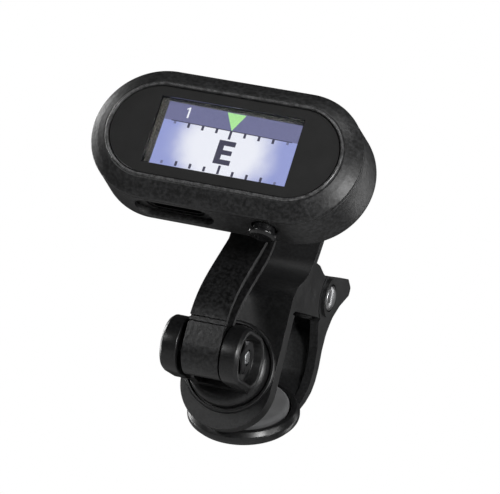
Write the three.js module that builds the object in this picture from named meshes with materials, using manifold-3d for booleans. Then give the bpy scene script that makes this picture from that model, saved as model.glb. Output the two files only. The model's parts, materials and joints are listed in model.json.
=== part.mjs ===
// Clip-on instrument tuner: display head, bowed arm, turntable fork and a sprung two-jaw clip.
// Millimetres, +Z up. The origin is the middle of the front pad's gripping face; +X is to the
// right of someone reading the display, and +Y runs from the front jaw to the rear jaw.

import * as THREE from 'three';
import { mergeVertices } from 'three/addons/utils/BufferGeometryUtils.js';
import Module from 'manifold-3d';

const wasm = await Module();
wasm.setup();

// ---------------------------------------------------------------- driving dimensions

const FIT = 0.1;            // running or assembly clearance
const AIR = 0.3;            // clearance between pieces that rest on each other

const jaw = {
  halfWidth: 7.4,           // half width of both jaws, and radius of the front jaw's lower end
  frontFace: -3.3,          // front of the front jaw
  trayEdge: -0.6,           // rear edge of the tray that holds the pad
  trayTop: 12.6,
  skin: 1.3,                // thickness of the tray's floor
  wall: 1.2,                // thickness of the tray's rim
  strap: 1.5,               // thickness of the bent strap above the tray
  flange: 1.4,              // thickness of both jaws' side flanges
};
const pivot = { y: 13.9, z: 18.7, pinRadius: 1.0, headRadius: 2.05, earRadius: 3.9 };
const foot = { y: 8.4, z: -2.5, tilt: 50.6, radius: 8.9, rim: 1.2, padRadius: 7.2, padTop: 2.2 };
const swivel = { z: 2.5, collarRadius: 7.3, discRadius: 6.5, discBack: -3.6, discFront: -4.9 };
const fork = { y: -14.3, z: 2.9, radius: 4.4, rearY: -9.4, innerX: 3.2, outerX: 6.1 };
const arm = { halfWidth: 2.95, thickness: 4.0, knuckle: 4.2, topKnuckle: 3.4, lip: 0.75, channel: 1.1 };
const head = { y: -31.1, z: 31.6, tilt: 10.4, half: 10.8, radius: 10.45, depth: 9.9, wall: 1.25 };
const lens = { half: 10.9, radius: 7.15, lip: 0.8 };
const neck = { depth: 18.6, rise: 1.2, radius: 3.6, innerX: 3.2, outerX: 5.5 };
const button = { x: 8.9, depth: 4.9, radius: 1.9 };
const socket = { x: -5.9, depth: 5.4, width: 8.9, height: 3.2 };

// ---------------------------------------------------------------- materials

const finish = (color, roughness, metalness = 0) =>
  new THREE.MeshStandardMaterial({ color, roughness, metalness });
const BLACK = finish(0x17181a, 0.55);
const GLOSS = finish(0x0a0b0c, 0.08);
const STEEL = finish(0xb9bcc0, 0.3, 1);
const SPRING = finish(0x8b8e92, 0.35, 1);
const GREY_RUBBER = finish(0x5a5b5c, 0.85);
const BLACK_RUBBER = finish(0x1b1b1c, 0.9);
const LCD = finish(0xaab6ee, 0.3);
const DIFFUSER = finish(0xe8e8e4, 0.6);
const BOARD = finish(0x1d5a34, 0.5);
const FOIL = finish(0xa7abb0, 0.4, 0.7);
const BRASS = finish(0xb08d3c, 0.35, 1);

// ---------------------------------------------------------------- solid helpers

const radians = THREE.MathUtils.degToRad;

function toSolid(geometry) {
  const bare = geometry.index ? geometry.toNonIndexed() : geometry.clone();
  bare.deleteAttribute('normal');
  bare.deleteAttribute('uv');
  const merged = mergeVertices(bare, 1e-4);
  return new wasm.Manifold(new wasm.Mesh({
    numProp: 3,
    vertProperties: new Float32Array(merged.attributes.position.array),
    triVerts: new Uint32Array(merged.index.array),
  }));
}

function toGeometry(solid) {
  const mesh = solid.getMesh();
  const geometry = new THREE.BufferGeometry();
  geometry.setAttribute('position', new THREE.BufferAttribute(new Float32Array(mesh.vertProperties), 3));
  geometry.setIndex(new THREE.BufferAttribute(new Uint32Array(mesh.triVerts), 1));
  geometry.computeVertexNormals();
  return geometry;
}

const join = (first, ...others) => others.reduce((sum, other) => sum.add(other), first);
const cut = (first, ...others) => others.reduce((rest, other) => rest.subtract(other), first);

function extrude(shape, depth, axes) {
  const geometry = new THREE.ExtrudeGeometry(shape, { depth, bevelEnabled: false, curveSegments: 6 });
  geometry.applyMatrix4(axes);
  return toSolid(geometry);
}

// A shape drawn in Y and Z, extruded from x0 to x1.
function slabX(shape, x0, x1) {
  const axes = new THREE.Matrix4().makeBasis(
    new THREE.Vector3(0, 1, 0), new THREE.Vector3(0, 0, 1), new THREE.Vector3(1, 0, 0));
  return extrude(shape, x1 - x0, axes.setPosition(x0, 0, 0));
}

// A shape drawn in X and Z, extruded from y0 to y1.
function slabY(shape, y0, y1) {
  const axes = new THREE.Matrix4().makeBasis(
    new THREE.Vector3(1, 0, 0), new THREE.Vector3(0, 0, 1), new THREE.Vector3(0, -1, 0));
  return extrude(shape, y1 - y0, axes.setPosition(0, y1, 0));
}

// A shape drawn in X and Y, extruded from z0 to z1.
function slabZ(shape, z0, z1) {
  return extrude(shape, z1 - z0, new THREE.Matrix4().setPosition(0, 0, z0));
}

const both = (make) => join(make(1), make(-1));

// Extrusion of a Y-Z shape on one side of the middle, between two distances from it.
const slabSide = (shape, side, near, far) => (side > 0 ? slabX(shape, near, far) : slabX(shape, -far, -near));

function outline(points) {
  return new THREE.Shape(points.map(([u, v]) => new THREE.Vector2(u, v)));
}

function disc(u, v, radius) {
  return stadium(u, u, v, radius);
}

// Two half circles of one radius joined by straight sides; the centres are (u0, v) and (u1, v).
function stadium(u0, u1, v, radius) {
  const shape = new THREE.Shape();
  shape.absarc(u1, v, radius, -Math.PI / 2, Math.PI / 2);
  shape.absarc(u0, v, radius, Math.PI / 2, 1.5 * Math.PI);
  return shape;
}

function rectangle(u0, v0, u1, v1) {
  return outline([[u0, v0], [u1, v0], [u1, v1], [u0, v1]]);
}

// A path given a thickness: its points moved half the thickness to either side.
function ribbon(path, thickness, divisions = 8) {
  const points = path.getPoints(divisions);
  const sides = [[], []];
  points.forEach((point, i) => {
    const ahead = points[Math.min(i + 1, points.length - 1)];
    const behind = points[Math.max(i - 1, 0)];
    const normal = ahead.clone().sub(behind).normalize().rotateAround(new THREE.Vector2(), Math.PI / 2);
    sides[0].push(point.clone().addScaledVector(normal, thickness / 2));
    sides[1].unshift(point.clone().addScaledVector(normal, -thickness / 2));
  });
  return new THREE.Shape([...sides[0], ...sides[1]]);
}

// A profile of [radius, station] points turned about X, Y or Z, through the point `at`.
function turned(profile, axis, at = [0, 0, 0], segments = 24) {
  const geometry = new THREE.LatheGeometry(profile.map(([r, t]) => new THREE.Vector2(r, t)), segments);
  if (axis === 'x') geometry.rotateZ(-Math.PI / 2);
  if (axis === 'z') geometry.rotateX(Math.PI / 2);
  geometry.translate(...at);
  return outward(toSolid(geometry), geometry);
}

// A lathe profile may run either way; this returns the solid whose faces point out.
function outward(solid, geometry) {
  if (solid.volume() > 0) return solid;
  const index = geometry.index.array;
  for (let i = 0; i < index.length; i += 3) [index[i], index[i + 1]] = [index[i + 1], index[i]];
  return toSolid(geometry);
}

const bar = (radius, from, to, axis, at, segments) =>
  turned([[0, from], [radius, from], [radius, to], [0, to]], axis, at, segments);

// A [radius, depth] profile carried round a stadium of the given half length: depth is along +Y.
function stadiumRing(profile, half, steps = 12) {
  const around = [];
  for (let i = 0; i <= steps; i += 1) around.push([half, -Math.PI / 2 + (Math.PI * i) / steps]);
  for (let i = 0; i <= steps; i += 1) around.push([-half, Math.PI / 2 + (Math.PI * i) / steps]);
  const positions = [];
  for (const [centre, angle] of around) {
    for (const [radius, depth] of profile) {
      positions.push(centre + radius * Math.cos(angle), depth, radius * Math.sin(angle));
    }
  }
  const rows = profile.length;
  const index = [];
  for (let i = 0; i < around.length; i += 1) {
    for (let j = 0; j < rows; j += 1) {
      const next = (i + 1) % around.length;
      const a = i * rows + j;
      const b = next * rows + j;
      const c = next * rows + ((j + 1) % rows);
      const d = i * rows + ((j + 1) % rows);
      index.push(a, b, c, a, c, d);
    }
  }
  const geometry = new THREE.BufferGeometry();
  geometry.setAttribute('position', new THREE.Float32BufferAttribute(positions, 3));
  geometry.setIndex(index);
  return outward(toSolid(geometry), geometry);
}

// A stadium plate in the X-Z plane whose edge follows [radius, depth] points from front to back.
function stadiumBlock(edge, half) {
  const inner = Math.min(...edge.map(([radius]) => radius)) / 2;
  const [front, back] = [edge[0][1], edge[edge.length - 1][1]];
  const ring = stadiumRing([[inner, front], ...edge, [inner, back]], half);
  return join(ring, slabY(stadium(-half, half, 0, inner + FIT), front, back));
}

function mesh(name, solid, material) {
  const piece = new THREE.Mesh(toGeometry(solid), material);
  piece.name = name;
  return piece;
}

// ---------------------------------------------------------------- clip: front jaw

// The tray's outline: straight sides above a half round lower end, set in by `inset`.
function trayOutline(inset, top) {
  const r = jaw.halfWidth - inset;
  const shape = new THREE.Shape();
  shape.moveTo(r, top);
  shape.lineTo(-r, top);
  shape.lineTo(-r, 0);
  shape.absarc(0, 0, r, Math.PI, 2 * Math.PI);
  return shape;
}

function strapPath() {
  const path = new THREE.Path();
  path.moveTo(-2.55, 12.0);
  path.lineTo(-2.55, 13.6);
  path.quadraticCurveTo(-2.55, 16.0, -0.6, 17.0);
  path.quadraticCurveTo(2.6, 18.9, 3.4, 22.2);
  path.lineTo(6.1, 32.6);
  return path;
}

// Thumb ribs across the back of the front jaw's upper tab.
function thumbRibs() {
  const rib = bar(0.45, -5.4, 5.4, 'x', [0, 0, 0], 8);
  const ribs = [];
  for (let i = 0; i < 5; i += 1) ribs.push(rib.translate([0, 5.1 + 0.42 * i, 25.6 + 1.6 * i]));
  return ribs;
}

function cheek(side) {
  const flank = slabSide(outline([
    [-3.2, 11.6], [-0.6, 13.3], [12.4, 15.0], [13.6, 21.3], [9.0, 21.5], [6.2, 22.2],
    [3.2, 22.2], [1.9, 19.2], [-0.2, 17.2], [-3.2, 15.0]]),
  side, jaw.halfWidth - jaw.flange, jaw.halfWidth);
  const tongue = slabSide(stadium(5.4, pivot.y, pivot.z, 3.1), side, 4.5, 6.1);
  const earRoom = slabSide(disc(pivot.y, pivot.z, pivot.earRadius + AIR), side, 5.75, 8);
  return cut(join(flank, tongue), earRoom);
}

function frontJaw() {
  const tray = cut(
    slabY(trayOutline(0, jaw.trayTop), jaw.frontFace, jaw.trayEdge),
    slabY(trayOutline(jaw.wall, jaw.trayTop - jaw.wall), jaw.frontFace + jaw.skin, 1));
  const strap = slabX(ribbon(strapPath(), jaw.strap), -jaw.halfWidth, jaw.halfWidth);
  const tabOutline = new THREE.Shape();
  tabOutline.moveTo(-8, 10);
  tabOutline.lineTo(8, 10);
  tabOutline.lineTo(8, 27);
  tabOutline.bezierCurveTo(8, 34.4, -8, 34.4, -8, 27);
  const tab = strap.intersect(slabY(tabOutline, -5, 10));
  const collar = turned([[6.75, -3.1], [6.75, -3.9], [7.05, -4.0], [swivel.collarRadius, -3.7],
    [swivel.collarRadius, -3.1], [6.75, -3.1]], 'y', [0, 0, swivel.z], 40);
  const body = join(tray, tab, collar, both(cheek), ...thumbRibs());
  const screwHole = bar(1.3, -5, 0, 'y', [0, 0, swivel.z], 24);
  const pinHole = bar(pivot.pinRadius + 0.08, -9, 9, 'x', [0, pivot.y, pivot.z], 24);
  return mesh('front_jaw', cut(body, screwHole, pinHole), BLACK);
}

function frontPad() {
  const edge = 0.35;
  const pad = join(
    slabY(trayOutline(jaw.wall + AIR, jaw.trayTop - jaw.wall - AIR), -1.95, -edge),
    slabY(trayOutline(jaw.wall + AIR + edge, jaw.trayTop - jaw.wall - AIR - edge), -1.5, 0));
  const screwRoom = bar(2.6, -2.5, -0.6, 'y', [0, 0, swivel.z], 24);
  return mesh('front_pad', cut(pad, screwRoom), BLACK_RUBBER);
}

// One solid pin with a domed head outside each rear ear.
function pivotPin() {
  const reach = jaw.halfWidth + FIT;
  const r = pivot.pinRadius;
  const headR = pivot.headRadius;
  const half = [
    [headR, reach], [headR, reach + 0.3], [headR * 0.8, reach + 0.72], [headR * 0.4, reach + 0.92]];
  const mirrored = half.map(([radius, t]) => [radius, -t]).reverse();
  const profile = [[0, -reach - 0.98], ...mirrored, [r, -reach], [r, reach], ...half, [0, reach + 0.98]];
  return mesh('pivot_pin', turned(profile, 'x', [0, pivot.y, pivot.z], 28), STEEL);
}

// Wire of a torsion spring: a helix round X, then a straight leg tangent to its last turn.
class SpringWire extends THREE.Curve {
  constructor(turns, radius, pitch, startX, startAngle, leg) {
    super();
    Object.assign(this, { turns, radius, pitch, startX, startAngle, leg });
    this.coilLength = turns * 2 * Math.PI * radius;
  }

  getPoint(t) {
    const travelled = t * (this.coilLength + this.leg);
    const angle = this.startAngle + Math.min(travelled, this.coilLength) / this.radius;
    const x = this.startX + (this.pitch * (angle - this.startAngle)) / (2 * Math.PI);
    const beyond = Math.max(travelled - this.coilLength, 0);
    return new THREE.Vector3(
      x,
      pivot.y + this.radius * Math.cos(angle) - beyond * Math.sin(angle),
      pivot.z + this.radius * Math.sin(angle) + beyond * Math.cos(angle));
  }
}

const spring = { wire: 0.42, radius: 2.1, pitch: 1.15, startX: -2.6 };

function wireSection(radius) {
  return new THREE.Shape(new THREE.Path().absarc(0, 0, radius, 0, 2 * Math.PI).getPoints(2));
}

function sweep(curve, section, steps) {
  const geometry = new THREE.ExtrudeGeometry(section, { extrudePath: curve, steps, bevelEnabled: false });
  return outward(toSolid(geometry), geometry);
}

// The coil and the leg that presses on the front jaw's upper tab.
function springCoil() {
  const curve = new SpringWire(4.2, spring.radius, spring.pitch, spring.startX, radians(-60), 7.2);
  return mesh('torsion_spring', sweep(curve, wireSection(spring.wire), 110), SPRING);
}

// ---------------------------------------------------------------- clip: rear jaw

// Moves a solid made about the Z axis to the foot's centre and tilts it with the foot.
function placeOnFoot(solid) {
  return solid.rotate([90 - foot.tilt, 0, 0]).translate([0, foot.y, foot.z]);
}

function webPath() {
  const path = new THREE.Path();
  path.moveTo(24.6, 22.0);
  path.lineTo(20.4, 18.3);
  path.quadraticCurveTo(16.9, 15.2, 16.8, 12.0);
  path.lineTo(17.3, 7.4);
  path.quadraticCurveTo(17.6, 4.4, 14.6, 1.6);
  path.lineTo(13.2, 0.6);
  return path;
}

function rearFlange(side) {
  const blade = slabSide(outline([
    [11.1, 21.6], [22.6, 23.7], [24.9, 22.7], [24.8, 21.4], [21.3, 18.9], [18.9, 16.4], [17.6, 13.5],
    [17.5, 10.6], [18.0, 7.9], [17.9, 5.6], [17.1, 3.6], [15.4, 1.7], [13.2, 0.0], [10.6, -0.6],
    [13.4, 1.6], [15.2, 4.0], [15.7, 7.0], [14.8, 10.6], [12.2, 14.3], [12.6, 14.8]]),
  side, jaw.halfWidth - jaw.flange, jaw.halfWidth);
  const ear = slabSide(
    disc(pivot.y, pivot.z, pivot.earRadius), side, jaw.halfWidth - jaw.flange, jaw.halfWidth);
  const aboveLever = slabSide(outline([[8, 21.0], [26, 24.4], [26, 30], [8, 30]]), side, 5, 8);
  return cut(join(blade, ear), aboveLever);
}

function footDish() {
  const r = foot.radius;
  const padSeat = foot.padRadius + 0.35;
  return placeOnFoot(turned([
    [0, -1.5], [r - 1.2, -1.5], [r - 0.2, -0.7], [r, -0.1], [r - 0.2, 0.5], [r - 0.8, foot.rim],
    [padSeat, foot.rim], [padSeat, 0.1], [0, 0.1]], 'z', [0, 0, 0], 40));
}

function rearJaw() {
  const web = slabX(ribbon(webPath(), jaw.strap), -6.1, 6.1);
  const padRoom = placeOnFoot(bar(foot.padRadius + 0.34, 0.12, 4.5, 'z', [0, 0, 0], 40));
  const flanges = cut(both(rearFlange), padRoom);
  const pinHole = bar(pivot.pinRadius + 0.08, -9, 9, 'x', [0, pivot.y, pivot.z], 24);
  const headRoom = (side) => slabSide(disc(pivot.y, pivot.z, pivot.headRadius + AIR), side, jaw.halfWidth, 9);
  return mesh('rear_jaw', cut(join(cut(web, padRoom), flanges, footDish()), pinHole, both(headRoom)), BLACK);
}

function rearPad() {
  const r = foot.padRadius;
  const top = foot.padTop;
  const profile = [[0, 0.4], [r, 0.4], [r, top - 0.9], [r - 0.35, top - 0.35], [r - 1.2, top], [0, top]];
  return mesh('rear_pad', placeOnFoot(turned(profile, 'z', [0, 0, 0], 40)), GREY_RUBBER);
}

// The spring's other leg, which follows the rear jaw's lever.
function springTail() {
  const leg = bar(spring.wire, 0, 4.5, 'y', [0, 0, 0], 10).rotate([20, 0, 0]);
  const root = [spring.startX, pivot.y + 2.9, pivot.z + 0.2];
  return mesh('torsion_spring_tail', leg.translate(root), SPRING);
}

// ---------------------------------------------------------------- turntable and lower hinge

function forkEar(side) {
  const flank = (inset) => stadium(fork.y, fork.rearY, fork.z, fork.radius - inset);
  const lug = slabSide(flank(0), side, fork.innerX, fork.outerX - 0.5);
  const face = slabSide(flank(0.45), side, fork.innerX, fork.outerX);
  const recess = slabSide(flank(1.35), side, fork.outerX - 1.5, 8);
  return cut(join(lug, face), recess);
}

function turntable() {
  const r = swivel.discRadius;
  const base = turned([[0, swivel.discBack], [r, swivel.discBack], [r, -4.5], [r - 0.4, swivel.discFront],
    [5.5, swivel.discFront], [5.2, -5.3], [0, -5.3]], 'y', [0, 0, swivel.z], 40);
  const root = slabX(outline([[-9.6, -0.9], [-5.0, -1.4], [-5.0, 6.8], [-9.6, 6.4]]), -4.5, 4.5);
  const bore = bar(1.3, -9, 9, 'x', [0, fork.y, fork.z], 24);
  const armRoom = slabX(disc(fork.y, fork.z, arm.knuckle + AIR), -fork.innerX, fork.innerX);
  const strapRoom = slabX(rectangle(-10, -2, -6.8, 1.4), -fork.innerX + 0.01, fork.innerX - 0.01);
  const screwBore = bar(1.3, -8.6, -3, 'y', [0, 0, swivel.z], 24);
  const dimple = bar(0.75, -9, -6.3, 'y', [-1.7, 0, 0.1], 16);
  const body = join(base, cut(root, armRoom, strapRoom), both(forkEar));
  return mesh('turntable_fork', cut(body, bore, screwBore, dimple), BLACK);
}

function turntableScrew() {
  const profile = [[0, -8.2], [1.2, -8.2], [1.2, -1.6], [2.2, -1.6], [2.2, -1.1], [1.7, -0.75], [0, -0.75]];
  return mesh('turntable_screw', turned(profile, 'y', [0, 0, swivel.z], 24), STEEL);
}

function turntableWasher() {
  const profile = [[1.35, -1.95], [2.3, -1.95], [2.3, -1.68], [1.35, -1.68], [1.35, -1.95]];
  return mesh('turntable_washer', turned(profile, 'y', [0, 0, swivel.z], 24), SPRING);
}

// A hinge screw: shank, domed head on the left with a cross recess.
function hingeScrew(name, shank, headRadius, headX, endX, y, z) {
  const profile = [
    [0, headX - 1.1], [headRadius * 0.55, headX - 1.0], [headRadius, headX - 0.5], [headRadius, headX],
    [shank, headX], [shank, endX - 0.25], [shank - 0.25, endX], [0, endX]];
  const slot = (turn) => slabX(rectangle(-1.2, -0.2, 1.2, 0.2), headX - 2, headX - 0.55).rotate([turn, 0, 0]);
  const cross = join(slot(0), slot(90)).translate([0, y, z]);
  return mesh(name, cut(turned(profile, 'x', [0, y, z], 24), cross), STEEL);
}

// A hexagon nut with chamfered corners, on a hinge axis.
function hexNut(name, acrossFlats, bore, x0, x1, y, z) {
  const corner = acrossFlats / Math.sqrt(3);
  const hexagon = outline(Array.from({ length: 6 }, (_, i) => {
    const angle = radians(60 * i + 12);
    return [y + corner * Math.cos(angle), z + corner * Math.sin(angle)];
  }));
  const cone = turned([
    [0, x0 - 0.1], [corner, x0 - 0.1], [corner, x1 - 0.35], [corner - 0.6, x1], [0, x1]], 'x', [0, y, z], 32);
  const hole = bar(bore, x0 - 1, x1 + 1, 'x', [0, y, z], 24);
  return mesh(name, cut(slabX(hexagon, x0, x1).intersect(cone), hole), STEEL);
}

// ---------------------------------------------------------------- arm

const tilt = radians(head.tilt);

// A depth behind the display's front and a rise up the display, as Y and Z of the whole tuner.
const headPoint = (depth, rise) => new THREE.Vector2(
  head.y + depth * Math.cos(tilt) + rise * Math.sin(tilt),
  head.z - depth * Math.sin(tilt) + rise * Math.cos(tilt));
const topHinge = headPoint(neck.depth, neck.rise);

function armPath() {
  const path = new THREE.Path();
  path.moveTo(-16.7, 3.4);
  path.lineTo(-16.7, 6.0);
  path.bezierCurveTo(-16.7, 10.2, -13.4, 13.4, -8.6, 19.2);
  path.bezierCurveTo(-5.0, 23.5, -5.4, 28.4, topHinge.x, topHinge.y + 0.9);
  return path;
}

function armPiece() {
  const path = armPath();
  const half = arm.halfWidth;
  const strap = slabX(ribbon(path, arm.thickness, 12), -half, half);
  const channel = (side) => slabSide(
    ribbon(path, arm.thickness - 2 * arm.lip, 12), side, half - arm.channel, half + 1);
  const lower = bar(arm.knuckle, -half, half, 'x', [0, fork.y, fork.z], 40);
  const upper = bar(arm.topKnuckle, -half, half, 'x', [0, topHinge.x, topHinge.y], 32);
  const seam = slabX(rectangle(-19.4, 6.3, -18.35, 6.8), -half - 1, half + 1);
  const lowerBore = bar(1.3, -4, 4, 'x', [0, fork.y, fork.z], 24);
  const upperBore = bar(1.1, -4, 4, 'x', [0, topHinge.x, topHinge.y], 24);
  return mesh('arm', cut(join(cut(strap, both(channel)), lower, upper), seam, lowerBore, upperBore), BLACK);
}

// ---------------------------------------------------------------- head, in its own turned frame
// In this frame X is across the display, Y is depth behind the front and Z is up the display.

const parting = 2.5;                       // depth of the joint between bezel and housing
const screwPlaces = [[-15.0, 6.2], [15.0, 6.2], [-15.0, -6.2], [15.0, -6.2]];

function bezel() {
  const r = lens.radius;
  const lipR = r + lens.lip;
  const ring = stadiumRing([
    [6.5, 1.2], [r + FIT, 1.2], [r + FIT, 0.25], [r + 0.2, 0], [lipR - 0.15, 0], [lipR, 0.15],
    [9.9, 1.65], [10.3, 2.0], [head.radius, parting - 0.1], [head.radius, parting], [6.5, parting],
  ], head.half);
  const posts = screwPlaces.map(([x, z]) => bar(1.5, parting - 0.2, 4.6, 'y', [x, 0, z], 16));
  const holes = screwPlaces.map(([x, z]) => bar(0.75, parting - 0.9, 6, 'y', [x, 0, z], 12));
  return mesh('front_bezel', cut(join(ring, ...posts), ...holes), BLACK);
}

function displayWindow() {
  const r = lens.radius;
  return mesh('display_window', stadiumBlock([[r - 0.15, 0.28], [r, 0.4], [r, 1.1]], head.half), GLOSS);
}

function displayMask() {
  const plate = slabY(stadium(-head.half, head.half, 0, 6.3), 1.2, 1.45);
  return mesh('display_mask', cut(plate, slabY(rectangle(-11.25, -5.45, 11.15, 5.45), 1, 2)), BLACK);
}

const block = (name, x0, x1, y0, y1, z0, z1, material) =>
  mesh(name, slabY(rectangle(x0, z0, x1, z1), y0, y1), material);

function rearHousing() {
  const r = head.radius;
  const back = head.depth;
  const shell = stadiumBlock([
    [r, parting + FIT], [r, back - 1.5], [r - 0.2, back - 0.75], [r - 0.75, back - 0.2], [r - 1.5, back],
  ], head.half);
  const cavity = stadiumBlock([[r - head.wall, parting - 1], [r - head.wall, back - head.wall]], head.half);
  const bosses = screwPlaces.map(([x, z]) => bar(1.8, 4.9, back - 0.5, 'y', [x, 0, z], 16));
  const holes = screwPlaces.map(([x, z]) => join(
    bar(0.85, 3, 12, 'y', [x, 0, z], 16), bar(1.55, back - 1.1, 12, 'y', [x, 0, z], 20)));
  const pocket = slabZ(stadium(socket.x - 4.0, socket.x + 4.0, socket.depth, 2.3), -12, -9.75);
  const socketSlot = slabZ(stadium(socket.x - 2.95, socket.x + 2.95, socket.depth, 1.7), -12, -8);
  const buttonHole = bar(button.radius + FIT, -12, -8, 'z', [button.x, button.depth, 0], 32);
  const flank = outline([
    [back - 1, -4.2], [neck.depth, neck.rise - neck.radius],
    [neck.depth, neck.rise + neck.radius], [back - 1, 6.6]]);
  const ear = (side) => slabSide(flank, side, neck.innerX, neck.outerX);
  const knob = (side) => slabSide(disc(neck.depth, neck.rise, neck.radius), side, neck.innerX, neck.outerX);
  const hub = cut(
    slabX(outline([[back - 1, -4.6], [12.6, -3.4], [12.6, 5.8], [back - 1, 7.0]]), -neck.outerX, neck.outerX),
    slabX(disc(neck.depth, neck.rise, arm.topKnuckle + 0.5), -neck.innerX, neck.innerX));
  const bore = bar(1.1, -9, 9, 'x', [0, neck.depth, neck.rise], 24);
  const seats = (side) => slabSide(disc(neck.depth, neck.rise, 2.75), side, neck.outerX - 0.7, 8);
  const body = join(cut(shell, cavity), ...bosses, both(ear), both(knob), hub);
  return mesh('rear_housing', cut(body, ...holes, pocket, socketSlot, buttonHole, bore, both(seats)), BLACK);
}

function chargingSocket() {
  const { x, depth, width, height } = socket;
  const r = height / 2;
  const run = width / 2 - r;
  const shell = slabZ(stadium(x - run, x + run, depth, r), -9.6, -3.2);
  const mouth = slabZ(stadium(x - run, x + run, depth, r - 0.3), -11, -4.2);
  const tongue = slabZ(rectangle(x - 3.1, depth - 0.35, x + 3.1, depth + 0.35), -9.1, -4.1);
  return mesh('charging_socket', join(cut(shell, mouth), tongue), STEEL);
}

function powerButton() {
  const r = button.radius;
  const profile = [[0, -12.3], [r - 0.75, -12.25], [r - 0.2, -12.0], [r, -11.5], [r, -9.05], [r + 0.2, -9.05],
    [r + 0.2, -8.7], [0, -8.7]];
  return mesh('power_button', turned(profile, 'z', [button.x, button.depth, 0], 32), BLACK);
}

function tactileSwitch() {
  const { x, depth } = button;
  const body = slabY(rectangle(x - 2.2, -7.6, x + 2.2, -6.1), depth - 1.6, 7.15);
  return mesh('tactile_switch', join(body, bar(0.9, -8.05, -7.5, 'z', [x, depth, 0], 16)), FOIL);
}

function circuitBoard() {
  return mesh('circuit_board', slabY(stadium(-8.0, 8.0, 0, 7.2), 7.25, 7.95), BOARD);
}

function vibrationSensor() {
  const profile = [[0, 8.1], [4.4, 8.1], [4.4, 8.28], [3.0, 8.28], [3.0, 8.45], [0, 8.45]];
  return mesh('vibration_sensor', turned(profile, 'y', [0, 0, 1.5], 32), BRASS);
}

function caseScrew(place, number) {
  const [x, z] = place;
  const back = head.depth;
  const profile = [
    [0, 2.0], [0.7, 2.0], [0.7, back - 1.0], [1.4, back - 1.0], [1.4, back - 0.4], [1.0, back - 0.12],
    [0, back - 0.12]];
  const slot = (turn) => slabY(rectangle(-0.8, -0.16, 0.8, 0.16), back - 0.6, back + 1).rotate([0, turn, 0]);
  const cross = join(slot(0), slot(90)).translate([x, 0, z]);
  return mesh(`case_screw_${number}`, cut(turned(profile, 'y', [x, 0, z], 20), cross), STEEL);
}

function headGroup() {
  const group = new THREE.Group();
  group.position.set(0, head.y, head.z);
  group.rotation.x = -tilt;
  group.add(
    bezel(), displayWindow(), displayMask(), rearHousing(),
    block('lcd_panel', -12.1, 12.1, 1.55, 2.6, -5.95, 5.95, LCD),
    block('lcd_backlight', -12.1, 12.1, 2.75, 3.75, -5.95, 5.95, DIFFUSER),
    block('battery', -12.6, 12.6, 4.0, 6.9, -2.4, 7.2, FOIL),
    chargingSocket(), powerButton(), tactileSwitch(), circuitBoard(), vibrationSensor(),
    ...screwPlaces.map((place, i) => caseScrew(place, i + 1)),
    hingeScrew('head_hinge_screw', 1.0, 2.3, -neck.outerX + 0.62, 5.9, neck.depth, neck.rise),
    hexNut('head_hinge_nut', 4.0, 1.05, neck.outerX - 0.62, neck.outerX + 0.9, neck.depth, neck.rise));
  return group;
}

// ---------------------------------------------------------------- the whole tuner

const tuner = new THREE.Group();
tuner.add(
  frontJaw(), frontPad(), pivotPin(), springCoil(),
  rearJaw(), rearPad(), springTail(),
  turntable(), turntableScrew(), turntableWasher(),
  hingeScrew('arm_hinge_screw', 1.2, 2.6, -fork.outerX + 1.4, 6.2, fork.y, fork.z),
  hexNut('arm_hinge_nut', 5.1, 1.25, fork.outerX - 1.42, fork.outerX + 0.1, fork.y, fork.z),
  armPiece(), headGroup());

export default tuner;
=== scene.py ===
"""Clip-on tuner: the finished look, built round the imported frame.

Lengths in this file are millimetres in the frame's axes, and MM turns them into metres when a mesh is
made. Every new shape is a profile or an outline worked out with numpy.
"""

import json
import math

import bmesh
import bpy
import numpy as np
from mathutils import Matrix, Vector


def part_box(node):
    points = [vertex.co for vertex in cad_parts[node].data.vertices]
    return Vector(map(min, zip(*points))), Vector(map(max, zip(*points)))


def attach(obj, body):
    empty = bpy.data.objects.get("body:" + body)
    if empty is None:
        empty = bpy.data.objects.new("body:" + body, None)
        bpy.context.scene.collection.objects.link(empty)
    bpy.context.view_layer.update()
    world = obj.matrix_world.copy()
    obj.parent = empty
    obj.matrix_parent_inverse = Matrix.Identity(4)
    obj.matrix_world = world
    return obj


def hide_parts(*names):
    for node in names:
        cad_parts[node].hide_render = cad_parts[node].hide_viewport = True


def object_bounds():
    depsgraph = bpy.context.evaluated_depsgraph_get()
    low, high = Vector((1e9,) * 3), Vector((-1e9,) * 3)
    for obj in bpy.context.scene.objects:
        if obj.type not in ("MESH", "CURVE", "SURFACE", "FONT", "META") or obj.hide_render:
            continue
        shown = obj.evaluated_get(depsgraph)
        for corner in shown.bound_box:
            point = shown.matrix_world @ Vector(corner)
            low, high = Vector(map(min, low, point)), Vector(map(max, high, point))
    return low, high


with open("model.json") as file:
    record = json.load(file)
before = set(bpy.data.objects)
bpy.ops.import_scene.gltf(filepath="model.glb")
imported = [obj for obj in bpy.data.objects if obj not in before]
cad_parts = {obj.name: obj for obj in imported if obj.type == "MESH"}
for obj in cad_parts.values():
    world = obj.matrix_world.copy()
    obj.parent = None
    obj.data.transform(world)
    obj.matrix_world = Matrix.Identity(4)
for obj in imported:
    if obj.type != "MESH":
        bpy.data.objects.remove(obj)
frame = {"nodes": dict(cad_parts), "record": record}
cad_low, cad_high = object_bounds()

MM = 0.001
RECORD = frame["record"]
JOINTS = {joint["name"]: joint for joint in RECORD["behaviour"]["joints"]}
MOUNTS = {mount["name"]: mount for mount in RECORD["mounts"]}


# ------------------------------------------------------------------ places taken from the frame


def joint_place(name):
    """A hinge's place as (x, y, z) in millimetres."""
    return np.array(JOINTS[name]["pos_m"]) / MM


def corners(node):
    """A frame node's lowest and highest corners in millimetres."""
    low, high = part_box(node)
    return np.array(low) / MM, np.array(high) / MM


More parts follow.
